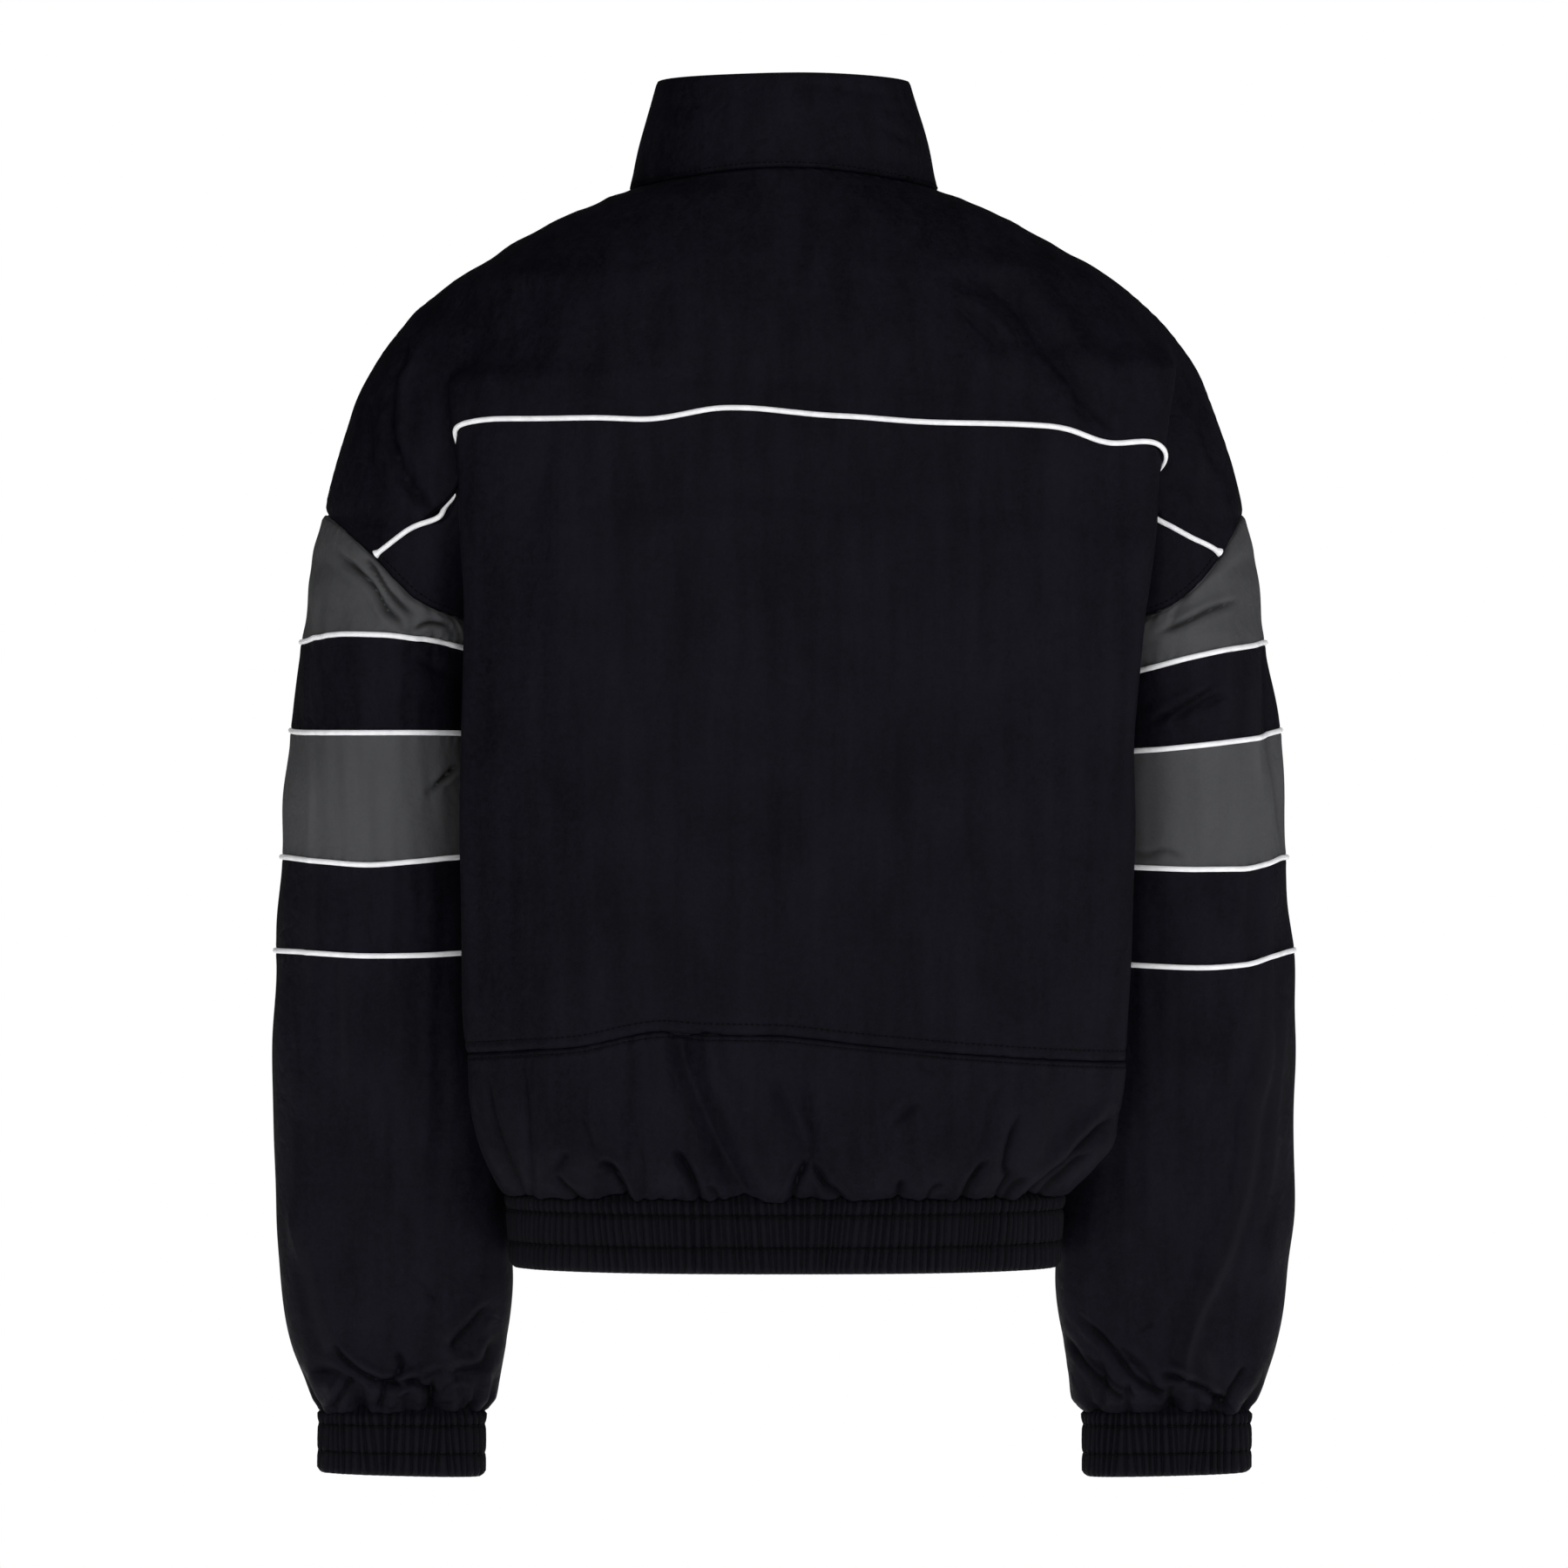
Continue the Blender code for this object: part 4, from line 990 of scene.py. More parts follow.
# %% Folds of the lower back
HEM_FOLDS = [
    (4, 2.5, 1.2, [(176, 515), (172, 543), (164, 570), (151, 600)]),
    (3, 1.6, -1.4, [(153, 509), (150, 541), (148, 573), (148, 602)]),
    (4, 1.8, -0.8, [(122, 543), (115, 557), (108, 572)]),
    (4, 2.2, 0.0, [(125, 567), (132, 576), (134, 584)]),
    (2.5, 2.8, 1.0, [(135, 581), (129, 589), (122, 595), (117, 602)]),
    (3, 4.5, -1.6, [(111, 575), (102, 578), (97, 588), (90, 601)]),
    (7, 3.0, 0.0, [(106, 578), (103, 588), (99, 603)]),
    (8, 2.5, 0.0, [(97, 527), (96, 557), (93, 603)]),
    (3, 1.4, 0.8, [(84, 560), (82, 580), (82, 601)]),
    (3, 4.5, 1.4, [(66, 564), (57, 577), (52, 588), (48, 602)]),
    (8, 6.0, -2.2, [(63, 476), (60, 501), (56, 520), (46, 545), (37, 566), (25, 590), (21, 604)]),
    (2.5, 2.0, 0.0, [(45, 587), (40, 593), (36, 602)]),
    (9, 4.0, -1.6, [(5, 519), (-4, 538), (-13, 561), (-19, 576)]),
    (3, 4.5, 1.2, [(-16, 569), (-9, 583), (-6, 594), (-4, 604)]),
    (3, 4.5, -1.2, [(-15, 571), (-23, 587), (-30, 593), (-37, 602)]),
    (7, 3.0, 0.0, [(-16, 578), (-16, 589), (-17, 605)]),
    (4, 2.2, 1.0, [(-79, 538), (-71, 546), (-62, 555)]),
    (8, 2.6, 0.0, [(-66, 549), (-63, 562), (-64, 580), (-66, 604)]),
    (2.5, 3.0, 0.0, [(-69, 584), (-67, 593), (-66, 602)]),
    (3, 1.2, 0.0, [(-76, 514), (-82, 520), (-89, 523)]),
    (3, 2.4, 0.0, [(-94, 587), (-86, 592), (-82, 602)]),
    (3, 4.0, 1.2, [(-120, 571), (-110, 585), (-105, 596), (-102, 604)]),
    (5, 2.0, 1.0, [(-130, 527), (-120, 541), (-117, 558), (-111, 575)]),
    (4, 3.6, 0.0, [(-140, 542), (-132, 561), (-129, 577), (-131, 584), (-125, 595), (-121, 604)]),
    (3, 2.4, 0.0, [(-142, 581), (-132, 591), (-126, 602)]),
    (4, -1.4, 0.0, [(-132, 380), (-135, 426), (-140, 461), (-147, 484),
                    (-151, 496), (-151, 514), (-150, 532), (-153, 552)]),
    (4, -1.0, 0.0, [(-158, 519), (-153, 542), (-150, 565), (-136, 589)]),
    (5, 5.0, 2.6, [(-201, 543), (-180, 564), (-167, 577), (-152, 589), (-137, 604)]),
    (3, 2.4, 0.0, [(-184, 569), (-163, 585), (-147, 600)]),
]

# %% Folds of the yoke and middle
YOKE_FOLDS = [
    (3, 1.8, -1.4, [(222, 83), (224, 103), (230, 113), (232, 136), (233, 162)]),
    (3.5, 1.2, -1.2, [(248, 121), (245, 146), (242, 169)]),
    (4, 3.0, 1.6, [(235, 139), (231, 153), (223, 174), (207, 193), (199, 204)]),
    (14, 2.6, 0.0, [(141, 50), (149, 66), (157, 87), (179, 97), (193, 102)]),
    (9, 1.6, 0.0, [(180, 65), (196, 76), (207, 81)]),
    (12, 1.0, 0.0, [(69, 50), (71, 75), (72, 106)]),
    (9, 4.0, -1.6, [(-104, 46), (-118, 59), (-134, 73), (-149, 95), (-164, 116), (-178, 136)]),
    (3.5, 2.2, -0.8, [(-166, 120), (-176, 134), (-185, 143), (-196, 151)]),
    (3, 1.4, 0.0, [(-167, 123), (-174, 137), (-181, 151)]),
    (4.0, 1.7, 0.0, [(-127, 59), (-141, 77), (-157, 102), (-171, 122), (-183, 134), (-194, 146)]),
    (3.2, 1.3, 0.0, [(-101, 73), (-110, 80), (-122, 91), (-134, 104)]),
    (3.2, 1.3, 0.0, [(-164, 131), (-173, 138), (-181, 143)]),
    (5, 1.6, -0.8, [(-97, 73), (-110, 85), (-120, 95), (-130, 110)]),
    (9, 2.2, -0.8, [(-155, 61), (-176, 75), (-186, 88), (-199, 116)]),
    (5, 1.0, 0.0, [(-94, 52), (-102, 59), (-112, 67)]),
    (4, 1.4, 1.0, [(-246, 123), (-248, 144), (-259, 174)]),
    (6, 2.0, 0.0, [(-255, 111), (-264, 136), (-270, 162)]),
]

BODY_FOLDS = [
    (10, 1.2, 0.0, [(141, 162), (151, 223), (153, 284)]),
    (12, 1.0, 0.0, [(-147, 173), (-154, 253), (-153, 324)]),
    (14, 1.0, 0.0, [(71, 183), (64, 284), (67, 395)]),
    (14, 0.9, 0.0, [(-56, 355), (-52, 425), (-59, 496)]),
    (12, 0.9, 0.0, [(131, 355), (135, 425), (126, 496)]),
    (10, 1.0, 0.0, [(179, 183), (184, 253), (182, 324)]),
]

# %% Folds of the left sleeve
LEFT_SLEEVE_FOLDS = [
    (2.4, 3.0, 1.2, [(268, 212), (263, 219), (252, 228), (241, 239), (234, 252), (226, 259), (222, 268)]),
    (2.2, 2.4, 1.0, [(250, 218), (246, 222), (239, 231), (231, 243), (223, 251), (214, 257)]),
    (2.0, 1.8, 0.6, [(219, 265), (209, 260), (195, 262)]),
    (4, 1.8, 0.0, [(218, 268), (207, 270), (194, 273)]),
    (9, 1.8, 0.0, [(283, 217), (270, 225), (252, 224)]),
    (3, -1.2, 0.0, [(281, 230), (278, 251), (277, 272), (279, 298), (278, 329)]),
    (3, -0.8, 0.0, [(273, 246), (269, 267), (270, 293)]),
    (5, 2.0, 0.0, [(218, 281), (207, 286), (193, 292)]),
    (1.8, 2.8, 0.6, [(207, 358), (203, 353), (199, 349), (192, 343)]),
    (2.4, 1.2, 0.0, [(213, 362), (204, 356), (197, 358)]),
    (5, -2.0, 0.0, [(263, 208), (241, 231), (222, 252)]),
    (3, -1.0, 0.0, [(283, 325), (279, 355), (281, 386), (281, 422), (283, 458), (284, 499)]),
    (3, -0.8, 0.0, [(264, 448), (263, 489), (260, 546)]),
    (4, -1.8, 0.0, [(299, 603), (293, 623), (287, 643), (283, 658), (278, 675), (274, 690)]),
    (6, 1.6, 0.0, [(286, 634), (279, 665), (272, 694)]),
    (3, 3.4, -1.8, [(272, 686), (266, 697), (255, 706), (243, 712), (231, 714)]),
    (3, 3.2, 0.0, [(232, 692), (229, 703), (236, 713)]),
    (3.5, 3.6, 0.0, [(240, 710), (240, 720), (243, 729)]),
    (3, 3.2, -1.2, [(231, 712), (221, 713), (211, 721)]),
    (3.5, 3.2, 0.0, [(210, 709), (211, 720), (212, 730)]),
    (3, 1.6, 0.8, [(202, 704), (216, 710), (224, 712)]),
    (3.5, 2.8, 1.2, [(176, 664), (185, 676), (198, 689)]),
    (3.5, 2.2, 1.0, [(175, 685), (178, 699), (183, 704), (196, 706)]),
    (3, 1.4, -0.8, [(191, 707), (198, 713), (205, 720)]),
    (5, 2.6, 0.0, [(287, 708), (273, 706), (260, 713)]),
    (3, 2.4, 1.2, [(259, 709), (265, 720), (270, 729)]),
    (4, 1.0, 0.0, [(222, 642), (215, 652), (208, 661)]),
    (4, -1.0, 0.0, [(212, 677), (202, 685), (197, 695), (196, 704)]),
    (6, 2.2, 0.0, [(256, 711), (254, 720), (255, 730)]),
    (5, 2.4, 0.0, [(226, 716), (226, 723), (227, 731)]),
    (5, 2.4, 0.0, [(195, 713), (193, 722), (193, 731)]),
    (10, 1.2, 0.0, [(243, 468), (235, 530), (231, 603)]),
    (10, 1.0, 0.0, [(207, 499), (202, 561), (208, 623)]),
]

# %% Folds of the right sleeve
RIGHT_SLEEVE_FOLDS = [
    (3, 1.6, -1.0, [(-271, 204), (-258, 220), (-239, 235), (-216, 251)]),
    (3, 1.2, 0.0, [(-253, 216), (-240, 227), (-227, 237)]),
    (4, 2.0, 0.0, [(-244, 233), (-233, 251), (-226, 268)]),
    (4, 1.6, 0.0, [(-223, 254), (-209, 259), (-197, 263)]),
    (8, 1.6, 0.0, [(-283, 215), (-271, 225), (-255, 226)]),
    (3.5, 1.6, -1.6, [(-285, 241), (-286, 272), (-288, 329), (-295, 370), (-300, 409)]),
    (3, -1.0, 0.0, [(-278, 251), (-279, 282), (-280, 324), (-283, 370)]),
    (5, 1.8, 0.0, [(-218, 283), (-207, 288), (-195, 294)]),
    (2.8, 2.4, 0.8, [(-257, 295), (-253, 297), (-241, 305), (-227, 313), (-212, 321)]),
    (2.6, 1.8, 0.6, [(-262, 299), (-256, 302), (-249, 305), (-231, 316), (-226, 319)]),
    (2.4, 1.2, 0.0, [(-263, 301), (-252, 307), (-243, 312)]),
    (2.4, 2.4, 1.0, [(-274, 245), (-270, 246), (-252, 252), (-235, 260), (-216, 268)]),
    (3, 1.6, 0.0, [(-238, 400), (-225, 394), (-212, 397), (-200, 393)]),
    (4, -2.6, 0.0, [(-291, 448), (-289, 484), (-288, 520), (-282, 551), (-276, 596),
                    (-266, 632), (-252, 664), (-242, 694), (-241, 711)]),
    (8, 2.4, 0.0, [(-283, 458), (-282, 499), (-275, 546), (-268, 592),
                   (-258, 629), (-243, 665), (-233, 696)]),
    (4, -1.4, 0.0, [(-297, 458), (-297, 499), (-294, 544), (-291, 580), (-285, 613)]),
    (3, -0.8, 0.0, [(-281, 453), (-281, 484), (-282, 523)]),
    (3, 3.4, -1.8, [(-222, 704), (-230, 708), (-239, 711), (-253, 718), (-264, 729)]),
    (3, -1.4, 0.0, [(-253, 690), (-255, 704), (-258, 717)]),
    (4, 2.6, -1.0, [(-197, 689), (-205, 696), (-214, 704), (-224, 720)]),
    (2, 0.9, 0.0, [(-211, 682), (-215, 680), (-220, 677)]),
    (2, 1.0, 0.0, [(-205, 697), (-209, 699), (-213, 701)]),
    (2.4, 2.4, 0.6, [(-174, 669), (-184, 680), (-196, 692), (-208, 707), (-218, 715), (-226, 720)]),
    (2.2, 2.0, 0.0, [(-168, 682), (-175, 695), (-187, 709), (-202, 722)]),
    (2.2, 1.4, 0.0, [(-177, 692), (-193, 709), (-209, 721)]),
    (3.5, 3.0, 0.0, [(-279, 702), (-272, 712), (-264, 726)]),
    (4, 3.0, 0.0, [(-233, 712), (-231, 720), (-233, 731)]),
    (4, 2.6, 0.0, [(-207, 710), (-206, 720), (-207, 731)]),
    (5, 2.4, 0.0, [(-248, 717), (-247, 723), (-248, 732)]),
    (4, 2.2, 0.0, [(-187, 696), (-191, 709), (-192, 727)]),
    (10, 1.2, 0.0, [(-243, 458), (-234, 525), (-233, 603)]),
    (10, 1.0, 0.0, [(-207, 499), (-203, 561), (-207, 629)]),
]

# %% Folds of the collar
COLLAR_FOLDS = [
    (5, 0.9, 0.0, [(79, -49), (58, -47), (36, -49)]),
    (5, 1.0, 0.0, [(5, -55), (-31, -56), (-75, -51)]),
    (4, 0.9, 0.0, [(-55, -46), (-64, -44), (-77, -45)]),
    (4, 1.3, 0.0, [(-54, -36), (-66, -30), (-82, -23)]),
    (4, 1.2, 0.0, [(90, 6), (78, -1), (63, -7)]),
    (6, 0.8, 0.0, [(-52, -20), (-65, -14), (-83, -11)]),
]

# %% [markdown]
# ## One panel of cloth
#
# Each panel is made in the same way: a smooth patch of the body is lifted by its folds and waves, its edges
# are turned in, and it is closed into a thin shell. Its cut is measured on the smooth patch, because folds
# only lay the cloth over, and a sewer cuts it flat.

# %% One panel of cloth
GAP = 0.3  # between two panels at their seam
SHEETS = []


def drops_between(top, foot, v):
    """Drops at shares v of the way between two seams, half a gap clear of each."""
    return top + GAP / 2 + (foot - top - GAP) * v


def cut_size(points, ring=False):
    """Width and length of a panel's cut, and its flat area, in metres."""
    along, down = run_lengths(points, ring)
    area = np.linalg.norm(np.cross(*slopes(points, ring)), axis=-1)
    if not ring:
        area[:, [0, -1]] *= 0.5
    area[[0, -1]] *= 0.5
    width, length, area = along[:, -1].max() * MM, down[-1].max() * MM, area.sum() * MM * MM
    return (round(width, 3), round(length, 3)), round(min(area, width * length), 4)


def cloth(name, base, outer, normal, shade, look, edges, held="hung", ring=False, thickness=1.0):
    """A piece of cloth closed into a shell, with an allowance at its edges and its cut noted.

    base is the surface that the cut is measured on, and outer the same with its folds.
    """
    shade = np.clip(shade, -1, 1)
    piece = shell(name, *with_allowance(outer, normal, shade, edges), look, ring, thickness)
    flat, area = cut_size(base, ring)
    SHEETS.append((piece, flat, area, held))
    print(name, "cut", flat, "m, triangles", triangles(piece))
    return outer, normals_of(outer, ring), piece


def panel(name, base, folds, held, seed, waves=0.8, strength=1.0, fine=1.0, passes=6, facing=1.0,
          gathered=False, top=(), foot=(), edges=("top", "foot", "left", "right")):
    """Folds, waves, puckers and turned-in edges pressed into a smooth base, then made cloth.

    strength is a factor of the folds, facing their weight at each point, and fine the width of a crease
    line. top and foot are the distances of stitch lines from those seams. In a gathered foot, valleys are
    drawn up by the elastic and ridges sag over it, by 0.22 of the lift.
    """
    base = softened(base, passes)
    normal = normals_of(base)
    x, drop = base[..., 0], -base[..., 2]
    lift = facing * strength * relief(folds, x, drop)
    shade = facing * crease_shade(folds, x, drop, fine)
    lift = lift + unevenness(x, drop, seed, waves) + streaks(x, drop, seed)
    along, down = run_lengths(base)
    to_top, to_foot, to_left, to_right = down, down[-1] - down, along, along[:, -1:] - along
    if gathered:
        lift = lift * (1 - 0.5 * bell(to_foot, 8.0))
    else:
        lift = lift * (1 - 0.65 * bell(np.minimum(to_top, to_foot), 9.0))
    lift = lift * (1 - 0.8 * bell(np.minimum(to_left, to_right), 8.0))
    lift, shade = sewn_edges(lift, shade, [
        (to_top, along, seed, 0.45, top),
        (to_foot, along, seed + 1, 0.45, foot),
        (to_left, down, seed + 5, 0.25, ()),
        (to_right, down, seed + 6, 0.25, ()),
    ])
    outer = base + lift[..., None] * normal
    if gathered:
        outer[..., 2] -= 0.22 * np.clip(lift, -5, 3) * bell(to_foot, 9.0)
    return cloth(name, base, outer, normal, shade, BLACK_NYLON, edges, held)

# %% [markdown]
# ## Back: yoke, middle and lower panel
#
# The back is three panels. The yoke reaches over the shoulders and ends in the piped seam; the middle is
# nearly smooth; the lower panel is gathered into the elastic, so all its folds fan up from the hem. A panel
# is a grid: columns share a level row between the two armholes, rows share the way from seam to seam.

# %% Columns across the body
def columns_of(quarters, cell, start=0.0):
    """Shares of half a row at even distances, closer at the outer edge, where the panel turns in."""
    shares = {}
    for side in (1, -1):
        w = np.linspace(start, EDGE, 500)
        far = distances(quarters[side].point(w, 300.0))
        if side == 1:
            count = int(far[-1] / cell) // 2 * 2 + 1
        at = np.r_[np.linspace(0, far[-1] - 3.5, count), far[-1] - EDGE_CELLS[::-1]]
        shares[side] = np.interp(at, far, w)
    return shares


def signed(shares):
    """Both halves in one row: shares below 0 on the right, above 0 on the left."""
    return np.r_[-shares[-1][:0:-1], shares[1]]


def on_body(quarters, s, drop):
    """Points of the body at signed shares and drops."""
    s = s + 0 * drop
    return np.where((s < 0)[..., None], quarters[-1].point(-s, drop), quarters[1].point(s, drop))


def seam_drop(rows, s):
    """Drop of a back seam at signed shares, its kinks rounded by a short running mean."""
    even = np.linspace(-1.04, 1.04, 833)
    w = np.minimum(np.abs(even), 1)
    drop = np.where(even < 0, through(rows, 2, w), through(rows, 1, w))
    mean = np.convolve(np.pad(drop, 8, "edge"), np.ones(17) / 17, "valid")
    return np.interp(s, even, mean)


def in_fold(s):
    """How far a panel's edge draws back inside the fold beside the sleeve, to leave room for the piping."""
    return 2.2 * bell(np.abs(s) - 0.68, 0.09, 4)

# %% Yoke and middle
NECK_BACK = [(w, back, back) for w, back, front in NECK]
s = signed(columns_of(BACK, 1.9))
drops = drops_between(seam_drop(NECK_BACK, s), seam_drop(YOKE, s) - in_fold(s), edge_steps(165.0, 1.9))
panel("yoke_cloth", on_body(BACK, s, drops), YOKE_FOLDS, "hung", 3, waves=0.5, strength=1.5, fine=2.0)

LOWER_STITCH = 6.6  # from the lower seam up to its topstitching
s = signed(columns_of(BACK, 2.9))
v = edge_steps(350.0, 2.9, foot=(LOWER_STITCH,))
drops = drops_between(seam_drop(YOKE, s) + in_fold(s), seam_drop(LOWER, s), v)
MIDDLE = panel("back_cloth", on_body(BACK, s, drops), BODY_FOLDS, "hung", 11,
               waves=0.9, fine=2.2, foot=(LOWER_STITCH,))

# %% Lower panel
SEAM_STITCH = 2.9  # from the lower seam down to the stitches that hold its allowance
s = signed(columns_of(BACK, 1.2))
v = edge_steps(88.0, 1.25, top=(SEAM_STITCH,), from_drop=45.0, fine=0.95)
drops = drops_between(seam_drop(LOWER, s), BAND_DROP, v)
LOWER_BACK = panel("lower_back_cloth", on_body(BACK, s, drops), HEM_FOLDS, "gathered", 23,
                   strength=1.2, fine=1.2, passes=10, gathered=True, top=(SEAM_STITCH,))

# %% [markdown]
# ## Fronts
#
# The photo shows nothing of the fronts, so they are plain: one panel each side from the neck to the hem,
# edged by the zip. Their folds repeat those of the back, mirrored and shallower, because the same elastic
# gathers them.

# %% Fronts
def front_start(drop):
    """Share of a front row at which it reaches the edge of the zip."""
    w = np.linspace(0, 0.2, 81)
    return float(np.interp(ZIP_HALF, FRONT[1].point(w, drop)[:, 0], w))


FRONT_PANELS = {}
front_folds = swapped(HEM_FOLDS + BODY_FOLDS)
shares = columns_of(FRONT, 2.7, front_start(300))
v = edge_steps(560.0, 4.0, from_drop=505.0, fine=1.8)
for side, name in SIDES.items():
    w = shares[side]
    w = w if len(w) % 2 else np.r_[w[0], (w[0] + w[1]) / 2, w[1:]]
    drops = drops_between(through(NECK, 2, w), BAND_DROP, v)
    base = FRONT[side].point(w, drops)
    base[:, 0, 0] = side * ZIP_HALF
    facing = ease((np.abs(base[..., 0]) - 8) / 22)
    FRONT_PANELS[side] = panel(f"front_cloth_{name}", base, front_folds, "hung", 31 + side,
                               passes=4, facing=facing, gathered=True, edges=("top", "foot", "right"))

# %% [markdown]
# ## Sleeves
#
# A sleeve is a tube of five bands, grey and black in turn, with white piping in the four seams between. Each
# band is a closed ring of cloth between two tilted seams, so it is a grid on the sleeve's oval. The folds
# drawn from the back fade out round the side, and the front carries the other sleeve's folds mirrored.

# %% The sleeve's surface
def tube(angle, drop, side):
    """Points and outward normals of the sleeve."""
    points = sleeve(angle, drop, side)
    around = sleeve(angle + 0.5, drop, side) - sleeve(angle - 0.5, drop, side)
    down = sleeve(angle, drop + 0.5, side) - sleeve(angle, drop - 0.5, side)
    return points, unit(-side * np.cross(around, down))


def even_angles(side, drop, cell):
    """Angles at even distances round the sleeve, an even count, half as close on its plainer front."""
    angles = np.linspace(0, 360, 721)
    points = sleeve(angles, np.full(721, float(drop)), side)
    closeness = 1 - 0.5 * ease((angles[1:] - 185) / 20) * ease((355 - angles[1:]) / 20)
    far = np.r_[0, np.cumsum(np.linalg.norm(np.diff(points, axis=0), axis=1) * closeness)]
    count = int(far[-1] / cell) // 2 * 2
    return np.interp(np.linspace(0, far[-1], count, endpoint=False), far, angles)


def sleeve_seam(number, angles, side):
    """Drop of a sleeve's seam, the same on back and front: armhole 0, piped seams 1 to 4, cuff 5."""
    folded = np.minimum(angles, 360 - angles)
    if number == 0:
        return np.interp(folded, EDGE_ANGLES, SEAM_DROPS[side]) + 1.6 * GAP
    if number == 5:
        return CUFF_DROP + 0 * folded
    return through(RINGS, number + (0 if side > 0 else 4), folded)


SLEEVE_FOLDS = {1: (LEFT_SLEEVE_FOLDS, swapped(RIGHT_SLEEVE_FOLDS, 1.0)),
                -1: (RIGHT_SLEEVE_FOLDS, swapped(LEFT_SLEEVE_FOLDS, 1.0))}


def on_faces(fold_values, points, normal, side, fine=()):
    """Folds of the back face where the cloth looks back, those of the front face where it looks forward.

    The front's cells are twice as wide, so its creases are too.
    """
    behind = ease((normal[..., 1] + 0.25) / 0.5)
    x, drop = points[..., 0], -points[..., 2]
    back, front = (fold_values(folds, x, drop, *(times * width for width in fine))
                   for folds, times in zip(SLEEVE_FOLDS[side], (1, 2)))
    return back * behind + front * (1 - behind)


def sleeve_lift(points, normal, side):
    """How far folds and long waves lift the sleeve's cloth, and the piping with it."""
    x, y, drop = points[..., 0], points[..., 1], -points[..., 2]
    waves = unevenness(x, drop, 41 + side, 0.7) + unevenness(y + 400, drop, 47 + side, 0.5)
    return 1.25 * on_faces(relief, points, normal, side) + waves


def tucks(angles, drop, side):
    """Gathers above the cuff: a wandering sine round the sleeve, its valleys narrow, 3.6 mm at the cuff."""
    turn = np.radians(angles)
    wave = np.sin(10 * turn + 1.6 * np.sin(2 * turn + side) + 0.9 * np.sin(5 * turn))
    return -3.6 * ((1 - wave) / 2) ** 2.5 * below(drop, 704.0, 26.0)

# %% Sleeve bands
BANDS = [
    # name, nylon, cell, drop where its cells are spaced
    ("upper_grey", GREY_NYLON, 1.2, 300),
    ("upper_black", BLACK_NYLON, 1.4, 350),
    ("middle_grey", GREY_NYLON, 1.6, 430),
    ("middle_black", BLACK_NYLON, 2.2, 460),
    ("lower_black", BLACK_NYLON, 1.3, 600),
]


def sleeve_band(k, side):
    """One ring of cloth between two seams of a sleeve, its folds finest near the cuff."""
    name, look, cell, level = BANDS[k]
    angles = even_angles(side, level, cell)
    top, foot = sleeve_seam(k, angles, side), sleeve_seam(k + 1, angles, side)
    length = float((foot - top).mean())
    v = edge_steps(length, cell) if k < 4 else edge_steps(length, 2.8, from_drop=length - 80.0, fine=1.05)
    drops = drops_between(top, foot, v)
    base, normal = tube(angles + 0 * drops, drops, side)
    gathers = tucks(angles, drops, side)
    lift = sleeve_lift(base, normal, side) + streaks(base[..., 0] * 1.4, drops, 61 + side)
    # Painted shade in the valleys of the gathers, added to the folds' painted crease shade.
    shade = on_faces(crease_shade, base, normal, side, (1.1 * cell,)) - 0.16 * gathers
    along, down = (lengths[:, :-1] for lengths in run_lengths(base, True))
    seed = 50 + 2 * k + side
    edges = [(down, along, seed, 0.45, ()), (down[-1] - down, along, seed + 1, 0.45, ())]
    lift, shade = sewn_edges(lift, shade, edges)
    outer = base + (lift + gathers)[..., None] * normal
    cloth(f"sleeve_{SIDES[side]}_{name}_cloth", base, outer, normal, shade, look, ("top", "foot"), ring=True)


for side in SIDES:
    for k in range(len(BANDS)):
        sleeve_band(k, side)

# %% [markdown]
# ## Collar
#
# The stand collar is lofted between two lines: the neck seam below and a smaller level oval above. It is two
# layers of cloth turned at the top, so it is thicker than the panels and its edge is round. It swells a
# little between the lines, and its foot stands proud of the yoke with a dark line under it, partly painted
# shade.

# %% Lines round the body
def spaced(path, count, ring=False):
    """Points at even distances along a path."""
    if ring:
        path = np.concatenate([path, path[:1]])
    far = distances(path)
    return at_distances(path, far, np.linspace(0, far[-1], count, endpoint=not ring))


def round_body(start, steps, drop_of, count):
    """A line from the zip's left edge round the back to its right edge; its drop depends on the share."""
    ahead, behind = np.linspace(start, 1, steps), np.linspace(1, 0, steps)[1:]
    left, right = (np.concatenate([FRONT[side].point(ahead, drop_of(-1, ahead)),
                                   BACK[side].point(behind, drop_of(1, behind))]) for side in SIDES)
    return spaced(np.concatenate([left, right[-2::-1]]), count)


def neck_drop(face, w):
    """Drop of the neck seam on the back (1) or the front (-1)."""
    return through(NECK, 1 if face > 0 else 2, w)

# %% Collar
COLLAR_HEIGHT = 62.0
COLLAR_TOP = 64.5                   # its top edge above the neck's middle
NECK_HALF, TOP_HALF = 90.0, 76.0    # half widths of the neck seam's oval and of the top edge's
NECK_DEEP, TOP_DEEP = (77.0, 84.0), (62.0, 65.0)  # their half depths, back and front
NECK_Y = -2.0                       # middle of both ovals
FOOT_STITCH = 2.6                   # from the neck seam up to the collar's stitches


def collar_top(points):
    """The level top edge over the neck seam: the same turn round the neck, on a smaller oval."""
    behind = points[..., 1] > NECK_Y
    turn = np.arctan2(points[..., 0] / NECK_HALF, (points[..., 1] - NECK_Y) / np.where(behind, *NECK_DEEP))
    y = NECK_Y + np.where(behind, *TOP_DEEP) * np.cos(turn)
    return np.stack([TOP_HALF * np.sin(turn), y, np.full(turn.shape, COLLAR_TOP)], -1)


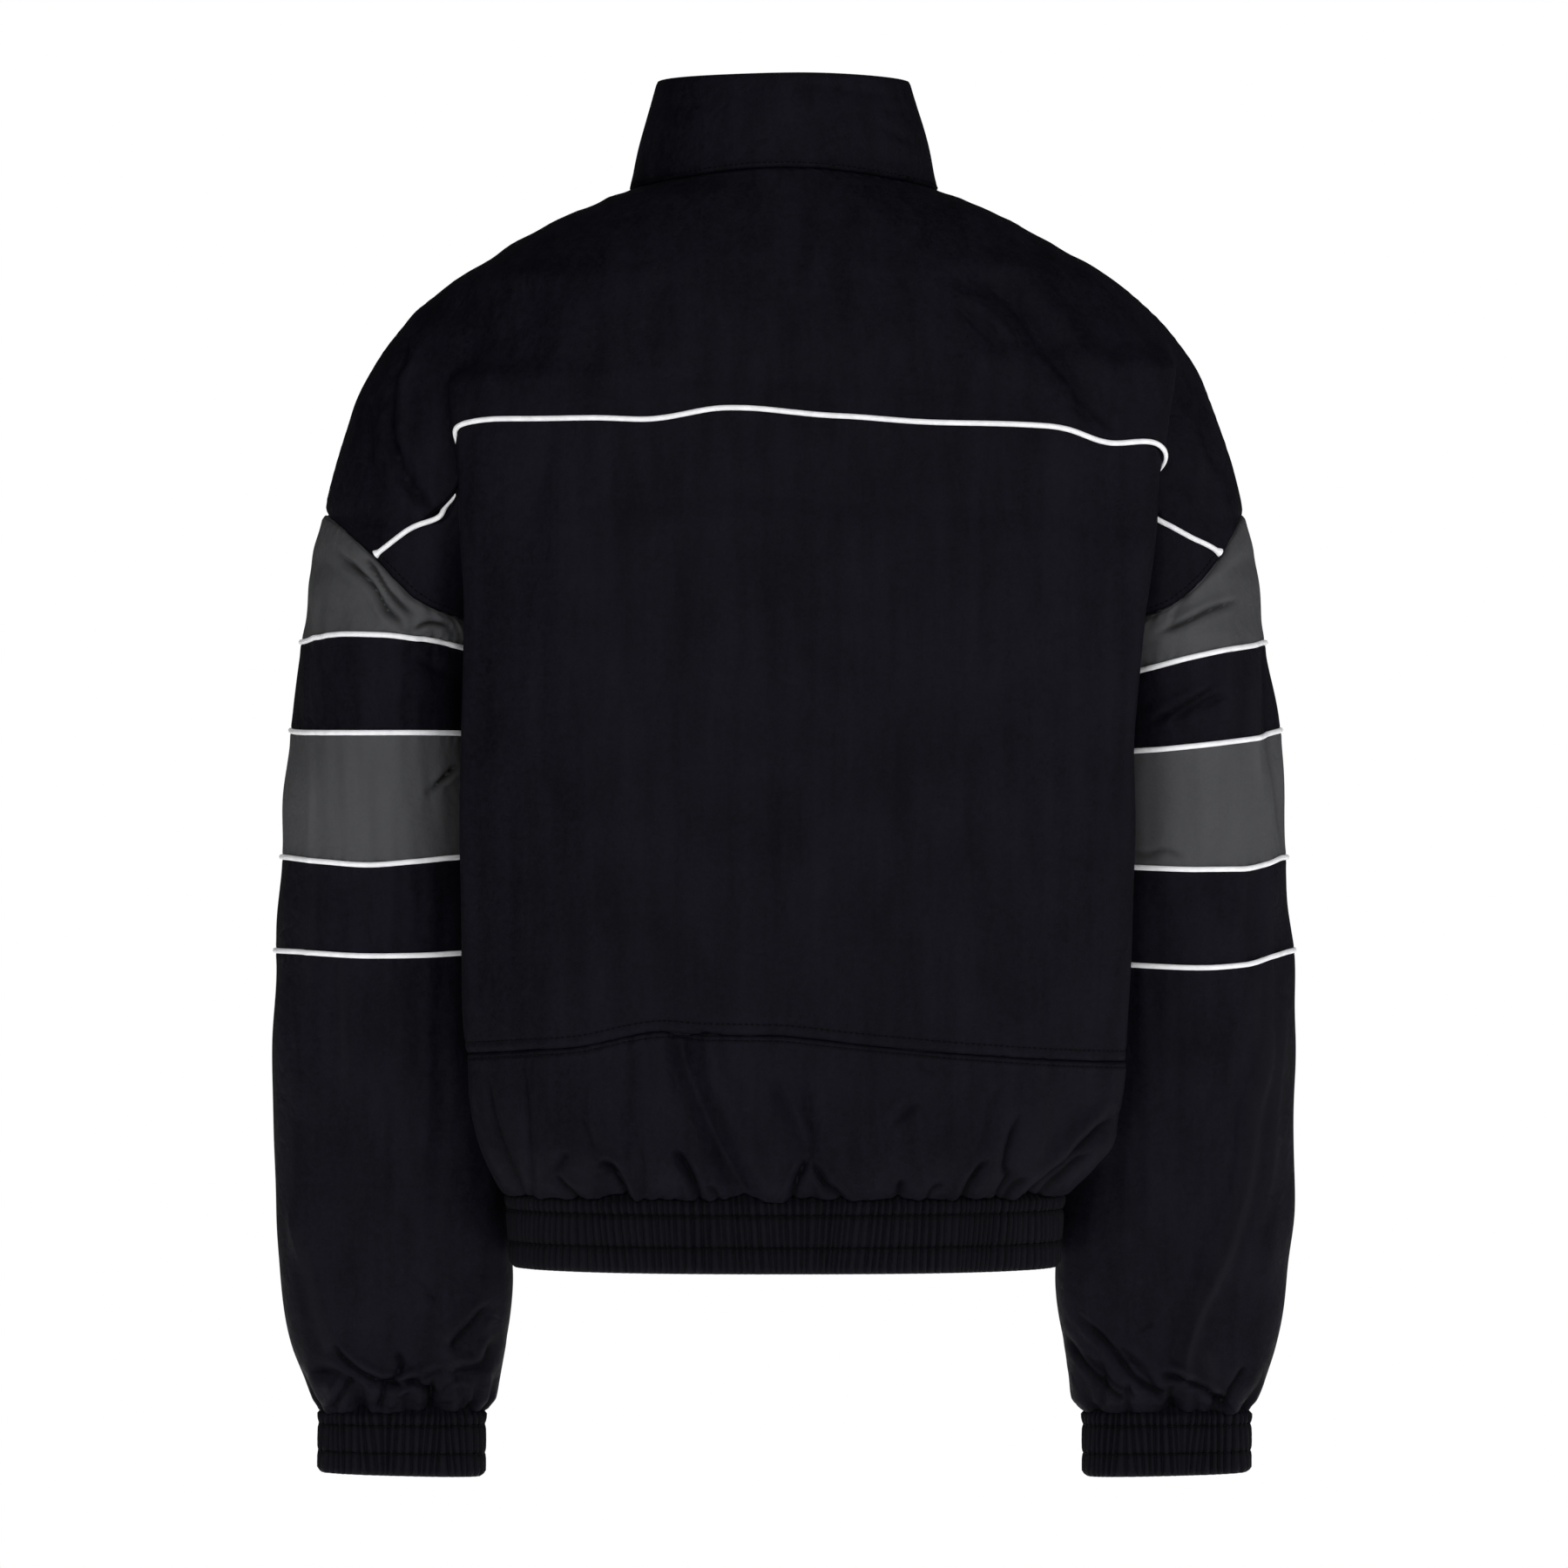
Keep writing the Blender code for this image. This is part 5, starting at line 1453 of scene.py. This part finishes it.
foot = round_body(front_start(66), 60, neck_drop, 251)
top = collar_top(foot)
v = edge_steps(COLLAR_HEIGHT, 1.8)[..., None]
rise = 1 - v
base = foot + [0, 0, 0.4] + (top - foot - [0, 0, 0.4]) * rise
out = unit((base - [0, NECK_Y, 0]) * [1, 1, 0])
base = base + out * (1.5 * np.sin(np.pi * rise) + bell(COLLAR_HEIGHT * rise, 7))
base[:, 0, 0], base[:, -1, 0] = ZIP_HALF, -ZIP_HALF
normal = unit(np.cross(*slopes(base)))
normal *= np.sign((normal * out).sum(-1))[..., None]
x, y, drop = base[..., 0], base[..., 1], -base[..., 2]
along, down = run_lengths(base)
to_foot = down[-1] - down
lift = relief(COLLAR_FOLDS, x, drop) * ease(y / 10) + unevenness(x, drop, 71, 0.5)
lift = lift + 0.4 * turned_in(down) + 1.3 * turned_in(to_foot) + puckers(to_foot, along, 73, 0.35)
shade = crease_shade(COLLAR_FOLDS, x, drop, 1.8) + line_shade(to_foot, (FOOT_STITCH,))
COLLAR = cloth("collar_cloth", base, base + lift[..., None] * normal, normal, shade, BLACK_NYLON, ("foot",),
               thickness=2.2)

# %% [markdown]
# ## Elastic hem band and cuffs
#
# Wide elastic is sewn into the band while stretched, then it draws the cloth into ribs. No two ribs are the
# same: each has its own width and height, and where a row of stitches holds the elastic the ribs are pinched
# thin. A rib is one arch of a sine across the band, pinched along it by two bell curves.

# %% Ribs
BAND_STEPS = np.array([-0.14, 0, 0.02, 0.06, 0.12, 0.17, 0.20, 0.22, 0.24, 0.29, 0.38, 0.48, 0.58, 0.625,
                       0.65, 0.675, 0.74, 0.84, 0.92, 0.97, 1.0])[:, None]  # rows, as shares of the way down
STITCH_ROWS = (7, 14)  # the rows where stitches hold the elastic
HELD = [float(BAND_STEPS[row, 0]) for row in STITCH_ROWS]


def held_at(v, width):
    """1 at each row of stitches, falling off as a bell beside it."""
    return bell(v - HELD[0], width) + bell(v - HELD[1], width)


def rib_edges(length, count, seed):
    """Where the ribs begin along the band: widths drawn at random around the mean."""
    width = np.random.default_rng(seed).uniform(0.62, 1.38, count)
    return np.r_[0, np.cumsum(width)] / width.sum() * length


def ribs(along, v, length, count, seed, pinched):
    """Height of the ribs over the band and their shade: arches with sharp valleys, each of its own height."""
    pick = np.random.default_rng(seed + 1)
    slant = 1.5 * np.sin(along / length * 23 + 1) + 1.1 * np.sin(along / length * 61)
    at = np.clip(along + slant * (v - 0.5) * 2, 0, length - 1e-6)
    phase = np.interp(at, rib_edges(length, count, seed), np.arange(count + 1))
    number_of = np.minimum(phase.astype(int), count - 1)
    tall = 2.3 * pick.uniform(0.7, 1.25, count)[number_of]
    held = held_at(v, 0.025)
    ruffle = 1 + 0.3 * bell(v - 0.08, 0.07)
    arch = 1 - np.abs(1 - 2 * (phase - number_of)) ** 2.2
    # Painted shade in the valleys between ribs, of random strength per rib, and along the stitch rows.
    shade = 0.7 * (1 - arch) ** 1.5 * pick.uniform(0.3, 1.0, count)[number_of] + 0.6 * held
    return tall * (1 - pinched * held) * ruffle * arch, np.clip(shade, 0, 1)

# %% A ribbed band
def outward(path, ring=False):
    """Level outward directions along a level path."""
    step = np.roll(path, -1, 0) - np.roll(path, 1, 0) if ring else np.gradient(path, axis=0)
    out = unit(np.stack([step[:, 1], -step[:, 0], 0 * step[:, 0]], 1))
    return out * np.sign((out * (path - path.mean(0))).sum())


def band(name, path, top, foot, count, seed, ring=False, taper=1.0, pinched=0.4, tilt=0.0):
    """A ribbed band hung from a level path: its rows run from the seam down, its foot is turned under.

    taper is how wide the foot is, as a share of the top. pinched is how much the elastic's stitches flatten
    the ribs. tilt is how far the foot hangs lower inside.
    """
    out = outward(path, ring)
    far = distances(path)
    length = far[-1] + (np.linalg.norm(path[0] - path[-1]) if ring else 0)
    v = BAND_STEPS
    height, shade = ribs(far + 0 * v, v + 0 * far, length, count, seed, pinched)
    height = height * (1 - 0.5 * bell(1 - v, 0.03))
    roll = -1.6 * (bell(1 - v, 0.035) + bell(v, 0.03)) - 4.5 * ease(-v / 0.10) - pinched * held_at(v, 0.022)
    first, second = HELD
    swell = (0.25 * np.sin(np.pi * np.clip((v - first) / (second - first), 0, 1))
             + 0.15 * np.sin(np.pi * np.clip((v - second) / (1 - second), 0, 1)))
    place = (path[None] * [1, 1, 0] - 0.8 * out) * (1 + (taper - 1) * v[..., None] * [1, 1, 0])
    place[..., 2] = -(top + v * (foot - top)) + tilt * v * (path[:, 0] - path[:, 0].mean()) / 55
    grid = place + (height + roll + swell)[..., None] * out
    normal = np.broadcast_to(out, grid.shape)
    print(name, round(length), "mm round")
    cloth(name, grid, grid, normal, shade, ELASTIC, (), "stretched", ring, 1.6)
    return grid, normal

# %% Hem band and cuffs
BAND_LEVEL, CUFF_LEVEL = 599.5, 738.0  # where the body and the sleeve give each band its path
path = round_body(front_start(BAND_LEVEL), 161, lambda face, w: BAND_LEVEL, 1287)
path[0, 0], path[-1, 0] = ZIP_HALF, -ZIP_HALF
HEM_BAND = band("hem_band_cloth", path, 596.6, 640.5, 214, 5, taper=0.982)
CUFFS = {}
for side, name in SIDES.items():
    path = spaced(sleeve(np.arange(360.0), np.full(360, CUFF_LEVEL), side), 396, True)
    CUFFS[side] = band(f"cuff_{name}_cloth", path, 731.8, 770.5, 56, 9 + side,
                       ring=True, pinched=0.2, tilt=1.4 * side)

# %% [markdown]
# ## Piping
#
# Piping is a cord in a folded strip of satin, caught in the seam so that only its round edge shows. It is a
# small circle carried along the seam, its centre just above the cloth. The seam is worked out again with the
# lift of the cloth beside it, so the piping follows every fold.

# %% Cord along a line
PIPING_RADIUS = 1.6
PROUD = 0.35  # the cord's middle above the cloth


def bead(name, path, normal, radius, ring=False):
    """A round bead along a path: rings of eight points in the plane across the path, radius per point."""
    count, sides = len(path), 8
    step = np.roll(path, -1, 0) - np.roll(path, 1, 0) if ring else np.gradient(path, axis=0)
    along = unit(step)
    sideways = unit(np.cross(along, normal))
    up = unit(np.cross(sideways, along))
    up = up * np.sign((up * normal).sum(1))[:, None]
    turned = (np.cross(along, sideways) * up).sum() < 0
    turn = np.linspace(0, 2 * np.pi, sides + 1)
    radius = np.broadcast_to(np.asarray(radius, float), (count,))[:, None, None]
    grid = path[:, None] + radius * (np.cos(turn)[:-1, None] * sideways[:, None]
                                     + np.sin(turn)[:-1, None] * up[:, None])
    far = distances(path)
    far = np.r_[far, far[-1] + np.linalg.norm(path[0] - path[-1])] if ring else far
    numbers = np.arange(len(far) * (sides + 1)).reshape(len(far), sides + 1)
    i, j = np.divmod(numbers.ravel(), sides + 1)
    vertex = (i % count) * sides + j % sides
    uv = np.stack([np.repeat(far, sides + 1), np.tile(turn * float(radius.mean()), len(far))], 1)
    quads = cells(numbers)[:, ::-1] if turned else cells(numbers)
    faces, corners = vertex[quads].tolist(), quads.ravel()
    if not ring:
        for cap in (numbers[0, :-1][::1 if turned else -1], numbers[-1, :-1][::-1 if turned else 1]):
            faces.append(vertex[cap].tolist())
            corners = np.r_[corners, cap]
    return put(name, grid.reshape(-1, 3), faces, WHITE_PIPING, corners, uv)


PIPING = {}
for side, name in SIDES.items():
    angles = even_angles(side, 300, 1.5)
    for k in (1, 2, 3, 4):
        line, straight = tube(angles, sleeve_seam(k, angles, side), side)
        line = line + (sleeve_lift(line, straight, side) + PROUD)[:, None] * straight
        PIPING[f"piping_{name}_{k}"] = bead(f"piping_cord_{name}_{k}", line, straight, PIPING_RADIUS, True)

# %% Yoke piping
CORD_END = 0.985  # share of the row at which the cord is caught in the armhole seam
w = np.linspace(-CORD_END, CORD_END, 421)
drop = seam_drop(YOKE, w)
line = on_body(BACK, w, drop)
surface = unit(np.cross(np.gradient(line, axis=0), on_body(BACK, w, drop + 3) - line))
surface = surface * np.sign(surface[210, 1])
lift = 0.375 * (relief(YOKE_FOLDS, line[:, 0], drop) + relief(BODY_FOLDS, line[:, 0], drop))
tuck = np.where(w > 0, bell(w - 0.645, 0.05, 8), bell(w + 0.65, 0.055, 4))  # in the fold beside the sleeve
sunk = np.where(w > 0, -3.0, 0.8) * tuck
line = line + (PROUD + lift + sunk)[:, None] * surface
for _ in range(10):
    line = evened(line)
caught = 0.75 * bell(CORD_END - np.abs(w), 0.012)
radius = PIPING_RADIUS * (1 - 0.4 * tuck + caught)
PIPING["yoke_piping"] = bead("piping_cord_yoke", line, surface, radius)
print("piping", len(PIPING), "cords")

# %% [markdown]
# ## Stitching
#
# Each visible stitch is a short thread sunk a little into the cloth. There are some two thousand, so one
# stitch has only two dozen faces. They are laid at even steps on a line at a fixed distance from a
# seam, read off the finished panel, and all the stitches of a line are one mesh.

# %% Stitch lines
def inset_line(grid, normal, distance, edge):
    """The line on a panel at a distance from its top, foot, left or right edge, with its normals."""
    axis, step = EDGES[edge]
    grid, normal = (np.moveaxis(values, axis, 0)[::step] for values in (grid, normal))
    down = run_lengths(grid)[1]
    row = np.maximum((down < distance).sum(0), 1)
    column = np.arange(grid.shape[1])
    before, after = down[row - 1, column], down[row, column]
    t = ((distance - before) / np.maximum(after - before, 1e-6))[:, None]
    return grid[row - 1, column] * (1 - t) + grid[row, column] * t, unit(normal[row, column])


def stitches(name, line, normal, pitch=3.4, long=2.7, thick=0.36, ring=False):
    """Threads along a line: square spindles of four rings, each bowed up from its two needle holes."""
    if ring:
        line, normal = np.concatenate([line, line[:1]]), np.concatenate([normal, normal[:1]])
    far = distances(line)
    count = max(2, int(far[-1] / pitch))
    at = (np.arange(count) + 0.5) * far[-1] / count
    station = np.array([-1.0, -0.6, 0.6, 1.0])
    width = np.array([0.15, 1.0, 1.0, 0.15])[:, None, None] * thick
    bow = np.array([-0.35, 0.03, 0.03, -0.35])[:, None]
    up = unit(at_distances(normal, far, at))[:, None]
    middle = at_distances(line, far, np.clip(at[:, None] + station * long / 2, 0, far[-1])) + bow * up
    ahead, behind = (at_distances(line, far, np.clip(at + step, 0, far[-1])) for step in (1, -1))
    along = unit(ahead - behind)[:, None]
    sideways = unit(np.cross(along, up))
    turn = np.arange(4)[:, None] * np.pi / 2
    rings = middle[:, :, None] + width * (np.cos(turn) * sideways[:, :, None] + np.sin(turn) * up[:, :, None])

    numbers = np.arange(16).reshape(4, 4)
    one, caps = cells(np.concatenate([numbers, numbers[:, :1]], 1)), np.stack([numbers[0, ::-1], numbers[-1]])
    faces = np.concatenate([one, caps])
    faces = faces[:, ::-1] if (np.cross(along, sideways) * up).sum() < 0 else faces
    faces = (faces + 16 * np.arange(count)[:, None, None]).reshape(-1, 4)
    return put(name, rings.reshape(-1, 3), faces.tolist(), THREAD)

# %% Sewing
STITCHES = []


def sew(name, source, distance, edge):
    """A line of stitches on a finished panel."""
    STITCHES.append(stitches(name, *inset_line(*source[:2], distance, edge)))


def sew_over(name, grid, out, row, ring):
    """A line of stitches drawn straight over the ribs of a band: its row, evened over 13 columns."""
    line = grid[row]
    line = np.concatenate([line[-6:], line, line[:6]]) if ring else np.pad(line, ((6, 6), (0, 0)), "edge")
    line = np.stack([np.convolve(line[:, k], np.ones(13) / 13, "valid") for k in range(3)], 1)
    STITCHES.append(stitches(name, line + 0.7 * out[row], out[row], 3.0, 2.5, 0.4, ring))


for name, source, distance, edge in (
    ("stitches_lower_seam", MIDDLE, LOWER_STITCH, "foot"),
    ("stitches_lower_back", LOWER_BACK, SEAM_STITCH, "top"),
    ("stitches_armhole_right", MIDDLE, 4.4, "left"),
    ("stitches_armhole_left", MIDDLE, 4.4, "right"),
    ("stitches_collar_foot", COLLAR, FOOT_STITCH, "foot"),
):
    sew(name, source, distance, edge)
for side, name in SIDES.items():
    sew(f"stitches_zip_{name}", FRONT_PANELS[side], 6.0, "left")
    for k, row in enumerate(STITCH_ROWS):
        sew_over(f"stitches_cuff_{name}_{k + 1}", *CUFFS[side], row, True)
for k, row in enumerate(STITCH_ROWS):
    sew_over(f"stitches_hem_band_{k + 1}", *HEM_BAND, row, False)
print("stitch lines", len(STITCHES), "triangles", triangles(*STITCHES))

# %% [markdown]
# ## Zip
#
# The front closes with a zip: two woven tapes behind the edges, two rows of teeth that mesh in the middle,
# and a slider at the top. The teeth are one small bevelled block repeated along the line of the front,
# every second one turned. Slider and pull tab are bevelled copies of the solids, so the tab still swings.

# %% Line of the zip
front_drops = np.arange(65.2, BAND_DROP, 2.0)
front_line = FRONT[1].point(front_start(300), front_drops)
collar_line = COLLAR[0][:, 0]
band_grid = HEM_BAND[0]
band_line = np.array([[ZIP_HALF, band_grid[0, 0, 1] - 0.8, -599.0], [ZIP_HALF, band_grid[-4, 0, 1], -640.0]])
ZIP_LINE = spaced(np.concatenate([collar_line[:-2], front_line, band_line]) * [0, 1, 1], 301)
step = np.gradient(ZIP_LINE, axis=0)
ZIP_OUT = unit(np.stack([0 * step[:, 0], step[:, 2], -step[:, 1]], 1))
ZIP_OUT = ZIP_OUT * np.sign(-ZIP_OUT[:, 1])[:, None]
ZIP_FAR = distances(ZIP_LINE)
print("zip", round(float(ZIP_FAR[-1])), "mm long")

# %% Tapes
across = np.array([0.4, 2.0, 4.0, 6.0, 8.0, 9.0, 10.0])
behind = 2.6 + 1.7 * (across / 10.0) ** 3
for side, name in SIDES.items():
    grid = ZIP_LINE[:, None] + across[:, None] * [side, 0, 0] - behind[:, None] * ZIP_OUT[:, None]
    normal = np.broadcast_to(ZIP_OUT[:, None], grid.shape)
    tape = shell(f"zip_tape_cloth_{name}", grid, normal, np.zeros(grid.shape[:2]), ZIP_TAPE, thickness=0.8)
    SHEETS.append((tape, (0.01, 0.70), None, "hung"))

# %% Teeth
TOOTH_PITCH = 1.45
SECTION = np.array([(-0.45, -0.9), (0.45, -0.9), (0.62, -0.5), (0.62, 0.5),
                    (0.45, 0.9), (-0.45, 0.9), (-0.62, 0.5), (-0.62, -0.5)])  # a tooth along the zip, and out
at = np.arange(14.0, ZIP_FAR[-1] - 2.0, TOOTH_PITCH)
place = at_distances(ZIP_LINE, ZIP_FAR, at)
face = unit(at_distances(ZIP_OUT, ZIP_FAR, at))
down = unit(np.cross(face, [1.0, 0, 0]))
hand = np.where(np.arange(len(at)) % 2 == 0, 1.0, -1.0)
ends = np.stack([-0.9 * hand, 2.7 * hand], 1)
block = (place[:, None, None] + ends[:, :, None, None] * [1.0, 0, 0]
         + SECTION[:, :1] * down[:, None, None] + (SECTION[:, 1:] - 0.8) * face[:, None, None])
near = np.arange(8)
next_one = np.roll(near, -1)
walls, caps = np.stack([near, next_one, next_one + 8, near + 8], 1), np.stack([near[::-1], near + 8])
first = block[0]
outside = np.cross(first[0, 1] - first[0, 0], first[1, 0] - first[0, 0])
right_way = (outside * (first[0, 0] - first.reshape(-1, 3).mean(0))).sum() > 0
plain = ((hand > 0) == right_way)[:, None, None]
faces = []
for shape in (walls, caps):
    numbered = np.where(plain, shape, shape[:, ::-1]) + 16 * np.arange(len(at))[:, None, None]
    faces += numbered.reshape(-1, shape.shape[1]).tolist()
teeth = put("zip_teeth", block.reshape(-1, 3), faces, METAL)
teeth.data.polygons.foreach_set("use_smooth", np.zeros(len(faces), bool))
print("teeth", len(at))

# %% Slider and pull tab
def bevelled_copy(node, name, width):
    """A merged copy of a CAD node with its edges bevelled, its place kept in its mesh."""
    shape = bmesh.new()
    shape.from_mesh(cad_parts[node].data)
    bmesh.ops.remove_doubles(shape, verts=shape.verts, dist=1e-5)
    bmesh.ops.dissolve_limit(shape, angle_limit=0.02, verts=shape.verts, edges=shape.edges)
    mesh = bpy.data.meshes.new(name)
    shape.to_mesh(mesh)
    shape.free()
    mesh.materials.clear()
    mesh.materials.append(METAL)
    made = bpy.data.objects.new(name, mesh)
    scene.collection.objects.link(made)
    bevel = made.modifiers.new("soft edges", "BEVEL")
    bevel.width, bevel.segments, bevel.limit_method, bevel.angle_limit = width, 2, "ANGLE", 0.5
    return made


slider = bevelled_copy("zip_slider", "zip_slider_body", 0.3 * MM)
pull = bevelled_copy("zip_pull", "zip_pull_tab", 0.2 * MM)

# %% [markdown]
# ## Fitting it together
#
# Every piece rides on the jacket, except the pull tab, which rides on its own body and swings. Each cloth
# stands for the solid it covers, which is hidden.

# %% Ride and replace
def stands_for(piece, slot, *nodes, body="jacket"):
    """Put a piece on a body and hide the solids it takes the place of; slot, the name of its finish, is not
    used.
    """
    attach(piece, body)
    if nodes:
        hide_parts(*nodes)


SLOTS = {BLACK_NYLON: "black_nylon", GREY_NYLON: "grey_nylon", ELASTIC: "black_elastic", ZIP_TAPE: "zip_tape"}
SOLIDS = {"yoke_cloth": "back_yoke", "back_cloth": "back_body", "lower_back_cloth": "back_hem_panel"}
for piece, *_ in SHEETS:
    node = SOLIDS.get(piece.name, piece.name.replace("_cloth", "").replace("lower_black", "lower"))
    stands_for(piece, SLOTS[piece.data.materials[0]], node)
for node, piece in PIPING.items():
    stands_for(piece, "white_piping", node)
for piece in STITCHES:
    stands_for(piece, "black_nylon")
stands_for(teeth, "dark_metal", "zip_chain")
stands_for(slider, "dark_metal", "zip_slider")
stands_for(pull, "dark_metal", "zip_pull", body="pull")

# %% Sizes and finish
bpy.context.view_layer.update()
shown = [piece for piece in bpy.data.objects if piece.type == "MESH" and not piece.hide_render]
print("triangles in all", triangles(*shown))
